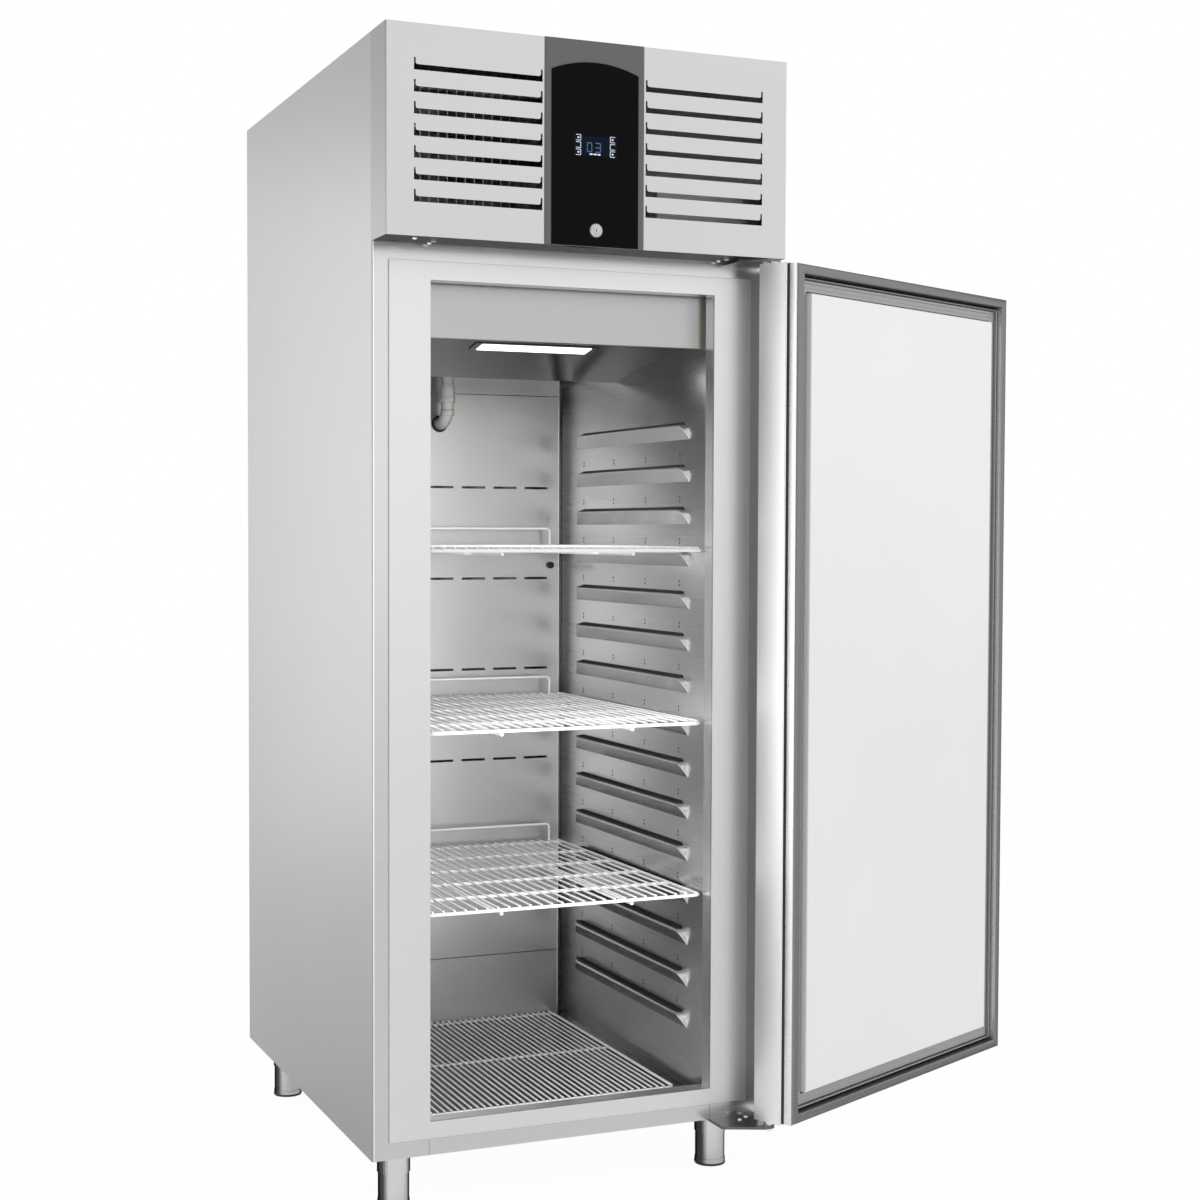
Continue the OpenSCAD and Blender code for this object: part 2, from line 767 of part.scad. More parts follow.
// Machine cover over the door
louvre_len = hw - louvre_inset - panel_hw - louvre_gap;
louvre_x0 = hw - louvre_inset - louvre_len;
module louvre_cut() {
  x0 = louvre_x0 + louvre_slit;
  x1 = louvre_x0 + louvre_len - louvre_slit;
  r = louvre_round;
  slab_y(y_head - 1, y_head + cover_t + 1) difference() {
    translate([louvre_x0, 0]) square([louvre_len, louvre_h]);
    translate([x0, louvre_slot + r]) square([x1 - x0, louvre_h]);
    translate([x0 + r, louvre_slot]) square([x1 - x0 - 2 * r, louvre_h]);
    for (x = [x0 + r, x1 - r]) translate([x, louvre_slot + r]) circle(r = r);
  }
}
module header_half() {
  difference() {
    translate([0, 0, z_head]) linear_extrude(header_h) difference() {
      union() {
        translate([panel_hw, y_head]) square([hw - fold_r - panel_hw, cover_t]);
        translate([hw - sheet, y_head + fold_r]) square([sheet, header_out - fold_r]);
        intersection() {
          translate([hw - fold_r, y_head + fold_r]) circle(r = fold_r);
          translate([hw - fold_r, y_head]) square([fold_r, fold_r]);
        }
      }
      translate([hw - fold_r, y_head + fold_r]) circle(r = fold_r - sheet);
    }
    for (i = [0 : louvre_n - 1])
      translate([0, 0, z_head + louvre_low - louvre_slot + i * louvre_pitch]) louvre_cut();
  }
}
module header_right() {
  color(steel) header_half();
}
module header_left() {
  color(steel) mirror([1, 0, 0]) header_half();
}

// Underside of the cover with the slot for the lock cam
lock_x = 1;
lock_z = z_head + 27;
cam_l = 44;
cam_y = y_head + 9;
cam_t = 3;
module header_underside() {
  x1 = hw - sheet;
  color(steel) difference() {
    box([-x1, y_head + fold_r, z_head], [x1, y_front, z_head + cover_t]);
    cam_slot(z_head - 1, z_head + cover_t + 1);
    for (p = screw_places) rod_z([p[0], p[1], z_head - 1], 4, screw_r + run_fit);
  }
}
module cam_slot(z0, z1) {
  box([lock_x - 48, cam_y - 2, z0], [lock_x + 8, cam_y + cam_t + 2, z1]);
}

screw_r = 2.5;
screw_places = [[95 - hw, y_front - 40], [hw - 98, y_front - 38]];
module header_screws() {
  color("silver") for (p = screw_places) {
    rod_z([p[0], p[1], z_head - 2.5], 2.5, 5);
    rod_z([p[0], p[1], z_head], 12, screw_r);
  }
}

module control_panel() {
  bevel = 1.5;
  y0 = y_head - panel_out;
  color([0.3, 0.3, 0.31]) difference() {
    translate([0, 0, z_head]) linear_extrude(z_top - z_head)
      polygon([[-panel_hw, y_head + cover_t], [-panel_hw, y0 + bevel], [-panel_hw + 4, y0],
        [panel_hw - 4, y0], [panel_hw, y0 + bevel], [panel_hw, y_head + cover_t]]);
    rod_y([lock_x, y0 - 1, lock_z], panel_out + 4, lock_r + run_fit);
  }
}

// Dark glass with an arched top
display_w = 80;
display_h = 34;
display_z = z_head + 151;
module control_glass() {
  z_crown = z_top - glass_drop;
  arch_r = (glass_hw * glass_hw + glass_rise * glass_rise) / (2 * glass_rise);
  y1 = y_head - panel_out;
  color(black) difference() {
    intersection() {
      slab_y(y1 - glass_t, y1) translate([-glass_hw, z_head]) square([2 * glass_hw, z_crown - z_head]);
      translate([0, y1 + 1, z_crown - arch_r]) rotate([90, 0, 0])
        cylinder(h = glass_t + 2, r = arch_r, $fn = 180);
    }
    rod_y([lock_x, y1 - glass_t - 1, lock_z], glass_t + 2, lock_r + run_fit);
    box([-display_w / 2, y1 - glass_t - 1, display_z], [display_w / 2, y1 + 1, display_z + display_h]);
  }
}
module display_window() {
  y1 = y_head - panel_out;
  color([0.05, 0.07, 0.12]) box([lamp_fit - display_w / 2, y1 - glass_t, display_z + lamp_fit],
    [display_w / 2 - lamp_fit, y1, display_z + display_h - lamp_fit]);
}

// Key lock: a cylinder that turns, with a cam that drops through the slot
lock_r = 9;
lock_head_r = 11;
module lock_cylinder() {
  y0 = y_head - panel_out - glass_t;
  color("silver") difference() {
    union() {
      rod_y([lock_x, y0 - 2.5, lock_z], 2.5, lock_head_r);
      rod_y([lock_x, y0, lock_z], cam_y - y0, lock_r);
      rod_y([lock_x, cam_y, lock_z], cam_t, 5);
      rod_y([lock_x, cam_y + cam_t, lock_z], 3, 6.5);
    }
    translate([lock_x, y0, lock_z]) box([-4, -4, -0.8], [4, 1, 0.8]);
  }
}
module lock_cam() {
  half = 6;
  color("silver") difference() {
    union() {
      box([lock_x - cam_l, cam_y, lock_z - half], [lock_x, cam_y + cam_t, lock_z + half]);
      rod_y([lock_x, cam_y, lock_z], cam_t, 9);
    }
    rod_y([lock_x, cam_y - 1, lock_z], cam_t + 2, 5 + run_fit);
  }
}

// Legs with screw-down feet
leg_x = hw - leg_in;
leg_y = body_d / 2 - leg_front;
leg_places = [[-leg_x, -leg_y], [leg_x, -leg_y], [-leg_x, leg_y], [leg_x, leg_y]];
sleeve_fit = 0.2;
sleeve_r = leg_r - leg_wall - sleeve_fit;
sleeve_top = z_base - 12;
module leg_tubes() {
  plate_h = 3;
  half = leg_plate / 2;
  color(steel) for (p = leg_places) translate([p[0], p[1], z_base]) {
    difference() {
      translate([0, 0, -leg_tube_l]) cylinder(h = leg_tube_l - plate_h, r = leg_r);
      translate([0, 0, -leg_tube_l - 1])
        cylinder(h = leg_tube_l + 1 - plate_h, r = leg_r - leg_wall);
    }
    box([-half, -half, -plate_h], [half, half, 0]);
    for (x = [-1, 1], y = [-1, 1])
      rod_z([x * (half - 8), y * (half - 8), -plate_h - 4], 4, 5);
  }
}
module foot(i) {
  p = leg_places[i];
  color(steel) translate([p[0], p[1], 0]) difference() {
    union() {
      cylinder(h = rim_h, r = rim_r);
      cylinder(h = sleeve_top, r = sleeve_r);
    }
    translate([0, 0, rim_h]) cylinder(h = sleeve_top, r = sleeve_r - 2);
  }
}
module foot_front_left() {
  foot(0);
}
module foot_front_right() {
  foot(1);
}
module foot_back_left() {
  foot(2);
}
module foot_back_right() {
  foot(3);
}

// Hinges
pin_x = hw - hinge_in;
pin_y = y_front - hinge_out;
z_door0 = z_base + door_gap;
z_door1 = z_head - door_gap;
module hinge_outline(length) {
  round_r = 11;
  hull() {
    translate([pin_x, pin_y]) circle(r = round_r, $fn = 32);
    translate([pin_x - 12, pin_y]) circle(r = round_r, $fn = 32);
    translate([hw - length, y_front - 46]) square([1, 1]);
    translate([hw - length, y_front + 20]) square([length - 4, 6]);
  }
}
module hinge_plates() {
  color(dark_steel) {
    difference() {
      translate([0, 0, z_base - plate_t]) linear_extrude(plate_t) hinge_outline(100);
      rod_z([pin_x, pin_y, z_base - plate_t - 1], plate_t + 2, pin_r);
    }
    difference() {
      intersection() {
        translate([0, 0, z_head - plate_t]) linear_extrude(plate_t) hinge_outline(78);
        box([0, y_head, z_head - plate_t], [hw, y_front, z_head]);
      }
      rod_z([pin_x, pin_y, z_head - plate_t - 1], plate_t + 2, pin_r);
    }
  }
}
pin_in = 20;
module hinge_pins() {
  lug_r = pin_r + 3;
  color("silver") {
    rod_z([pin_x, pin_y, z_base - plate_t - 4], 4, pin_r + 2);
    rod_z([pin_x, pin_y, z_base - plate_t], plate_t + door_gap + pin_in, pin_r);
    rod_z([pin_x, pin_y, z_base], door_gap - run_fit, lug_r);
    rod_z([pin_x, pin_y, z_door1 - pin_in], pin_in + door_gap, pin_r);
    rod_z([pin_x, pin_y, z_door1 + run_fit], door_gap - plate_t - run_fit, lug_r);
  }
}

// Door pieces are drawn closed, then turned open about the hinge pins
module opened() {
  translate([pin_x, pin_y, 0]) rotate([0, 0, door_open]) translate([-pin_x, -pin_y, 0]) children();
}
door_hw = hw - door_inset;
y_gasket = y_front - face_out - gasket_gap;
y_skin = y_gasket - gasket_h;
y_door = y_skin - skin_d;
y_panel = y_skin + panel_rise;
module bush_ways(r) {
  rod_z([pin_x, pin_y, z_door0 - 1], bush_l + 1, r);
  rod_z([pin_x, pin_y, z_door1 - bush_l], bush_l + 1, r);
}
module cam_pocket() {
  cam_slot(z_door1 - 16, z_door1 + 1);
}
module door_skin() {
  color(steel) opened() difference() {
    box([-door_hw, y_door, z_door0], [door_hw, y_skin, z_door1]);
    box([sheet - door_hw, y_door + sheet, z_door0 + sheet],
      [door_hw - sheet, y_skin - sheet, z_door1 - sheet]);
    box([lip_w - door_hw, y_skin - sheet - 1, z_door0 + lip_w],
      [door_hw - lip_w, y_skin + 1, z_door1 - lip_w]);
    bush_ways(bush_r);
    cam_pocket();
  }
}
module door_foam() {
  x1 = door_hw - sheet;
  x2 = door_hw - edge_w - sheet;
  inset = edge_w + sheet;
  color("khaki") opened() difference() {
    union() {
      box([-x1, y_door + sheet, z_door0 + sheet], [x1, y_skin - edge_d, z_door1 - sheet]);
      box([-x2, y_skin - edge_d - 1, z_door0 + inset], [x2, y_panel - sheet, z_door1 - inset]);
    }
    bush_ways(bush_r);
    cam_pocket();
  }
}
// The inner panel is a shallow pan whose sides go down to the foam
module door_inner_panel() {
  x2 = door_hw - edge_w;
  inset = edge_w + sheet;
  color([0.86, 0.87, 0.88]) opened() difference() {
    box([-x2, y_skin - edge_d, z_door0 + edge_w], [x2, y_panel, z_door1 - edge_w]);
    box([sheet - x2, y_skin - edge_d - 1, z_door0 + inset],
      [x2 - sheet, y_panel - sheet, z_door1 - inset]);
  }
}
// A ring about the door from inset a to inset b, with mitred corners
module door_ring(a, b, y0, y1) {
  mitred_ring(door_hw - a, z_door0 + a, z_door1 - a, door_hw - b, z_door0 + b, z_door1 - b,
    y0, y1);
}
// Edge profile in two layers, the lower one reaching under the lip across the open groove
gasket_in = lip_w + groove_w;
module door_edge_profile() {
  step = edge_d / 2;
  clip_fit = 0.03;
  color([0.6, 0.6, 0.61]) opened() {
    door_ring(sheet + 0.1, edge_w, y_skin - edge_d, y_skin - step);
    door_ring(gasket_in, edge_w, y_skin - step, y_skin - clip_fit);
  }
}
// Gasket section: the bulb in two steps, a thin inner ridge and a low band
module door_gasket() {
  bulb_w = 12;
  channel_w = 3;
  ridge_w = 3.5;
  a = gasket_in + bulb_w / 3;
  b = gasket_in + bulb_w;
  c = b + channel_w;
  color([0.5, 0.5, 0.51]) opened() {
    door_ring(gasket_in, a, y_skin, y_gasket - 1.5);
    door_ring(a, b, y_skin, y_gasket);
    door_ring(c, c + ridge_w, y_skin, y_skin + gasket_h * 0.56);
    door_ring(c + ridge_w, edge_w - 3, y_skin, y_skin + gasket_h / 3);
  }
}
module door_grip() {
  t = 2.5;
  x0 = -door_hw + 12;
  x1 = x0 + grip_w;
  y0 = y_door - grip_out;
  color(steel) opened() translate([0, 0, z_door0 + 60]) linear_extrude(z_door1 - z_door0 - 120)
    polygon([[x0, y_door], [x1, y_door], [x1, y0 + 6], [x1 - 6, y0], [x0 + 6, y0], [x0, y0 + 4],
      [x0, y0 + 9], [x0 + t, y0 + 9], [x0 + t, y0 + 5], [x0 + 7, y0 + t], [x1 - 7, y0 + t],
      [x1 - t, y0 + 7], [x1 - t, y_door - t], [x0, y_door - t]]);
}
module door_bushes() {
  color("white") opened() for (z = [z_door0, z_door1 - bush_l])
    difference() {
      rod_z([pin_x, pin_y, z], bush_l, bush_r);
      rod_z([pin_x, pin_y, z - 1], bush_l + 2, pin_r + run_fit);
    }
}

// Wire shelf: a frame of bent and straight rods, cross rods level with it, thin wires on top
module rod_frame(w, y0, d, zc, r, corner) {
  x1 = w / 2 - r;
  ya = y0 + r;
  yb = y0 + d - r;
  c = corner + weld;
  for (y = [ya, yb]) rod_x([c - x1, y, zc], 2 * (x1 - c), r);
  for (x = [-x1, x1]) rod_y([x, ya + c, zc], yb - ya - 2 * c, r);
  for (q = [[-1, ya + corner, 180], [1, ya + corner, 270], [1, yb - corner, 0], [-1, yb - corner, 90]])
    translate([q[0] * (x1 - corner), q[1], zc]) rotate([0, 0, q[2]])
      rotate_extrude(angle = 90) translate([corner, 0]) circle(r = r);
}
module wire_shelf(i) {
  z0 = z_ledge - shelf_ledges[i] * ledge_pitch + touch;
  zc = z0 + rod_r;
  y0 = y_front + shelf_y;
  inner_x = shelf_w / 2 - 2 * rod_r - weld;
  corner = 12;
  stay_x = shelf_w * 0.236;
  pitch = (2 * inner_x - 18) / (wire_n - 1);
  bail_x = pitch * (wire_n / 2 - 1);
  bail_y = y0 + shelf_d - rod_r;
  bail_r = 2.5;
  color(white) {
    rod_frame(shelf_w, y0, shelf_d, zc, rod_r, corner);
    for (c = [1 : cross_n - 1])
      rod_x([-inner_x, y0 + shelf_d * c / cross_n, zc], 2 * inner_x, rod_r);
    for (k = [0 : wire_n - 1])
      rod_y([(k - (wire_n - 1) / 2) * pitch, y0 + 1,
        zc + rod_r + wire_r + weld], shelf_d - 2, wire_r);
    both_sides() rod_y([stay_x, y0 + 2, zc - 2 * rod_r - weld], shelf_d - 6, rod_r);
    both_sides() rod_z([bail_x, bail_y, zc + rod_r + weld], bail_h, bail_r);
    rod_x([-bail_x - bail_r, bail_y, zc + rod_r + 2 * weld + bail_h + bail_r],
      2 * (bail_x + bail_r), bail_r);
  }
}
module shelf_top() {
  wire_shelf(0);
}
module shelf_middle() {
  wire_shelf(1);
}
module shelf_bottom() {
  wire_shelf(2);
}

module floor_rack() {
  rack_w = 2 * (hi - rack_gap);
  rack_d = y_duct - rack_back - y_front - rack_y;
  r = 2.5;
  foot_h = 2;
  zc = z_floor + touch + foot_h + r;
  y0 = y_front + rack_y;
  inner_x = rack_w / 2 - 2 * r - weld;
  color(white) {
    rod_frame(rack_w, y0, rack_d, zc, r, 10);
    rod_x([-inner_x, y0 + rack_d / 2, zc], 2 * inner_x, r);
    for (k = [0 : rack_n - 1])
      rod_y([(k - (rack_n - 1) / 2) * (2 * inner_x - 14) / (rack_n - 1), y0 + 1,
        zc + r + wire_r + weld], rack_d - 2, wire_r);
    for (x = [-1, 1], y = [0.15, 0.85])
      translate([x * (rack_w / 2 - r), y0 + y * rack_d, z_floor + touch])
        cylinder(h = foot_h - weld, r = r);
  }
}

outer_side_left();
outer_side_right();
outer_back();
base_pan();
front_edge_trim();
front_frame();
throat_strips();
wall_foam();
liner_left();
liner_right();
liner_back();
liner_floor();
liner_ceiling();
duct_panel();
baffle_fascia();
baffle_air_guide();
lamp_housing();
lamp_lens();
drain_elbow();
probe_plug();
evaporator_coil();
evaporator_fan_frame();
evaporator_fan();
drip_tray();
machine_deck();
compressor();
condenser_coil();
condenser_fan_frame();
condenser_fan();
refrigerant_pipes();
control_box();
top_cover();
cable_gland();
header_left();
header_right();
header_underside();
control_panel();
control_glass();
display_window();
header_screws();
lock_cylinder();
lock_cam();
leg_tubes();
foot_front_left();
foot_front_right();
foot_back_left();
foot_back_right();
hinge_plates();
hinge_pins();
door_skin();
door_foam();
door_inner_panel();
door_edge_profile();
door_gasket();
door_grip();
door_bushes();
shelf_top();
shelf_middle();
shelf_bottom();
floor_rack();
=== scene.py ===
"""Looks of an upright stainless refrigerator with one hinged door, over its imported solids."""
import math

import bmesh
import bpy
from mathutils import Matrix, Vector


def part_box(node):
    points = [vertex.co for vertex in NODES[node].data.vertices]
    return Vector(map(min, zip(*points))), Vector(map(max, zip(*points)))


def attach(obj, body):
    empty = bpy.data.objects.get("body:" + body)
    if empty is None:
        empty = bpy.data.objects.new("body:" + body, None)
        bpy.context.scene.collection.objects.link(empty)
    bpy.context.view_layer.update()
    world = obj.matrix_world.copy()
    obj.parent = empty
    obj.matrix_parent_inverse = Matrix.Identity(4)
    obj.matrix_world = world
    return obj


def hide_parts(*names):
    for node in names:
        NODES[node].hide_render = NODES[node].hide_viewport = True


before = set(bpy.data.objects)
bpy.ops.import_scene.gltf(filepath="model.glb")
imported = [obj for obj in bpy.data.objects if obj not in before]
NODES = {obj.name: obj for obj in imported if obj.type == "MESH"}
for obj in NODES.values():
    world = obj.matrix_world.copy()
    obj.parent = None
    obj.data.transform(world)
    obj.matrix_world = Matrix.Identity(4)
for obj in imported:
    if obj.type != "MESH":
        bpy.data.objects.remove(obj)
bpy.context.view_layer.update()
scene = bpy.context.scene
SIDES = (-1, 1)

# ---------- camera, at the photograph's viewpoint
EYE = (-1.3254, -3.4899, 1.1706)
YAW, PITCH, ROLL = 22.141, -2.147, 0.136
cam_data = bpy.data.cameras.new("camera")
cam_data.sensor_width = 36
cam_data.lens = 57.47
cam_data.shift_x = 0.0562
cam_data.shift_y = 0.0022
cam_data.clip_end = 60
cam = bpy.data.objects.new("camera", cam_data)
scene.collection.objects.link(cam)
cam.matrix_world = (
    Matrix.Translation(EYE)
    @ Matrix.Rotation(math.radians(-YAW), 4, "Z")
    @ Matrix.Rotation(math.radians(90 + PITCH), 4, "X")
    @ Matrix.Rotation(math.radians(ROLL), 4, "Z")
)
scene.camera = cam
scene.view_settings.view_transform = "Standard"


# ---------- node helpers
def sock(tree, name, kind, io, default=None):
    """A named input or output of a node group."""
    s = tree.interface.new_socket(name=name, in_out=io, socket_type=kind)
    if default is not None:
        s.default_value = default
    return s


def node(tree, kind, links=(), **values):
    """A node with its links; i_ values go to inputs by number or name, the rest are settings."""
    n = tree.nodes.new(kind)
    for k, v in values.items():
        if k.startswith("i_"):
            key = k[2:].replace("_", " ")
            key = int(key) if key.isdigit() else key
            n.inputs[key].default_value = v
        else:
            setattr(n, k, v)
    for src, dst in links:
        tree.links.new(src, n.inputs[dst])
    return n


def combined(tree, operation, a, b):
    """One number from two, of which b may be a plain value."""
    if isinstance(b, (int, float)):
        return node(tree, "ShaderNodeMath", [(a, 0)], operation=operation, i_1=b).outputs[0]
    return node(tree, "ShaderNodeMath", [(a, 0), (b, 1)], operation=operation).outputs[0]


def ranged(tree, source, low, high, to_low=0.0, to_high=1.0):
    """A number taken from one range to another, and held at its ends."""
    spread = node(tree, "ShaderNodeMapRange", [(source, 0)], i_1=low, i_2=high, i_3=to_low,
                  i_4=to_high)
    return spread.outputs[0]


# ---------- finishes
def grain_group():
    """Fine parallel streaks and a slow cloudy change, both from 0 to 1."""
    g = bpy.data.node_groups.new("grain", "ShaderNodeTree")
    sock(g, "Across", "NodeSocketVector", "INPUT", (900, 900, 900))
    sock(g, "Cloud", "NodeSocketFloat", "INPUT", 2.0)
    sock(g, "Streak", "NodeSocketFloat", "OUTPUT")
    sock(g, "Cloudy", "NodeSocketFloat", "OUTPUT")
    given, out = g.nodes.new("NodeGroupInput").outputs, g.nodes.new("NodeGroupOutput").inputs
    place = node(g, "ShaderNodeTexCoord").outputs["Object"]
    drawn = node(g, "ShaderNodeVectorMath", [(place, 0), (given["Across"], 1)],
                 operation="MULTIPLY")
    fine = node(g, "ShaderNodeTexNoise", [(drawn.outputs[0], "Vector")], i_Scale=1.0,
                i_Detail=4.0, i_Roughness=0.65)
    slow = node(g, "ShaderNodeTexNoise", [(place, "Vector"), (given["Cloud"], "Scale")],
                i_Detail=2.0)
    g.links.new(fine.outputs["Fac"], out["Streak"])
    g.links.new(slow.outputs["Fac"], out["Cloudy"])
    return g


GRAIN = grain_group()
NOISE = (0.3, 0.7)  # the middle part of the noise, spread over the whole effect
# Masks for painted light in surface(): faces that look sideways, and edges turning from the camera
FLANK = (0.6, 0.85)  # how far sideways a face looks before it counts as a flank
RIM = (0.30, 0.75)  # where a rounded form turns away
RELIEF = 0.0004

VERT, SIDE, DEEP, ROUND = (900, 900, 5), (5, 900, 900), (900, 5, 900), (5, 5, 900)
LONG, EVEN, MOULDED, MOTTLED = (1600, 1600, 9), (500,) * 3, (300,) * 3, (60,) * 3


def new_material(name):
    m = bpy.data.materials.new(name)
    m.use_nodes = True
    return m, m.node_tree, m.node_tree.nodes["Principled BSDF"]


def scaled(c, k):
    return (min(c[0] * k, 1), min(c[1] * k, 1), min(c[2] * k, 1), 1)


def sheen(k):
    """The grey that tints a reflection at its glancing edge."""
    return (k, k, k, 1)


def painted_tone(tree, color, where, left):
    """A colour multiplied by a grey where a mask is 1, which paints light or shade into it."""
    mix = node(tree, "ShaderNodeMix", [(where, 0), (color, 6)], data_type="RGBA",
               blend_type="MULTIPLY", i_7=(left, left, left, 1))
    return mix.outputs[2]


def surface(name, color, rough, across=EVEN, metallic=1.0, vary=0.05, rough_vary=0.1, bump=0.15,
            cloud=1.6, cloud_vary=0.04, painted_flank=1.0, painted_rim=1.0, **sockets):
    """A sheet, coating or plastic: streaks in colour, roughness and relief; its sideways faces may
    get a painted highlight or painted shade, and its turned-away edges painted shade."""
    m, t, b = new_material(name)
    g = node(t, "ShaderNodeGroup", node_tree=GRAIN)
    g.inputs["Across"].default_value = across
    g.inputs["Cloud"].default_value = cloud
    streak = g.outputs["Streak"]
    mix = node(t, "ShaderNodeMix", [(ranged(t, streak, *NOISE), 0)], data_type="RGBA",
               i_6=scaled(color, 1 - vary), i_7=scaled(color, 1 + vary))
    slow = ranged(t, g.outputs["Cloudy"], *NOISE, 1 - cloud_vary, 1.0)
    hue = node(t, "ShaderNodeHueSaturation", [(mix.outputs[2], "Color"), (slow, "Value")])
    tint = hue.outputs["Color"]
    # Painted highlight (tone over 1) or painted shade (tone under 1) on faces that look sideways
    # along x
    if painted_flank != 1:
        aim = node(t, "ShaderNodeNewGeometry").outputs["True Normal"]
        parts = node(t, "ShaderNodeSeparateXYZ", [(aim, 0)])
        size = node(t, "ShaderNodeMath", [(parts.outputs["X"], 0)], operation="ABSOLUTE")
        tint = painted_tone(t, tint, ranged(t, size.outputs[0], *FLANK), painted_flank)
    # Painted shade where a rounded form turns away from the camera
    if painted_rim < 1:
        edge = node(t, "ShaderNodeLayerWeight", i_Blend=0.5)
        tint = painted_tone(t, tint, ranged(t, edge.outputs["Facing"], *RIM), painted_rim)
    t.links.new(tint, b.inputs["Base Color"])
    smoothest, roughest = max(rough - rough_vary / 2, 0.02), rough + rough_vary / 2
    t.links.new(ranged(t, streak, *NOISE, smoothest, roughest), b.inputs["Roughness"])
    relief = node(t, "ShaderNodeBump", [(streak, "Height")], i_Strength=bump, i_Distance=RELIEF)
    t.links.new(relief.outputs[0], b.inputs["Normal"])
    b.inputs["Metallic"].default_value = metallic
    for k, v in sockets.items():
        b.inputs[k.replace("_", " ")].default_value = v
    return m


def glowing(name, color, strength):
    """A lit cover or digit, a little uneven in its own colour."""
    m, t, b = new_material(name)
    g = node(t, "ShaderNodeGroup", node_tree=GRAIN)
    g.inputs["Across"].default_value = (80, 80, 80)
    mix = node(t, "ShaderNodeMix", [(g.outputs["Streak"], 0)], data_type="RGBA",
               i_6=scaled(color, 0.86), i_7=scaled(color, 1))
    t.links.new(mix.outputs[2], b.inputs["Emission Color"])
    t.links.new(mix.outputs[2], b.inputs["Base Color"])
    b.inputs["Emission Strength"].default_value = strength
    b.inputs["Roughness"].default_value = 0.4
    return m


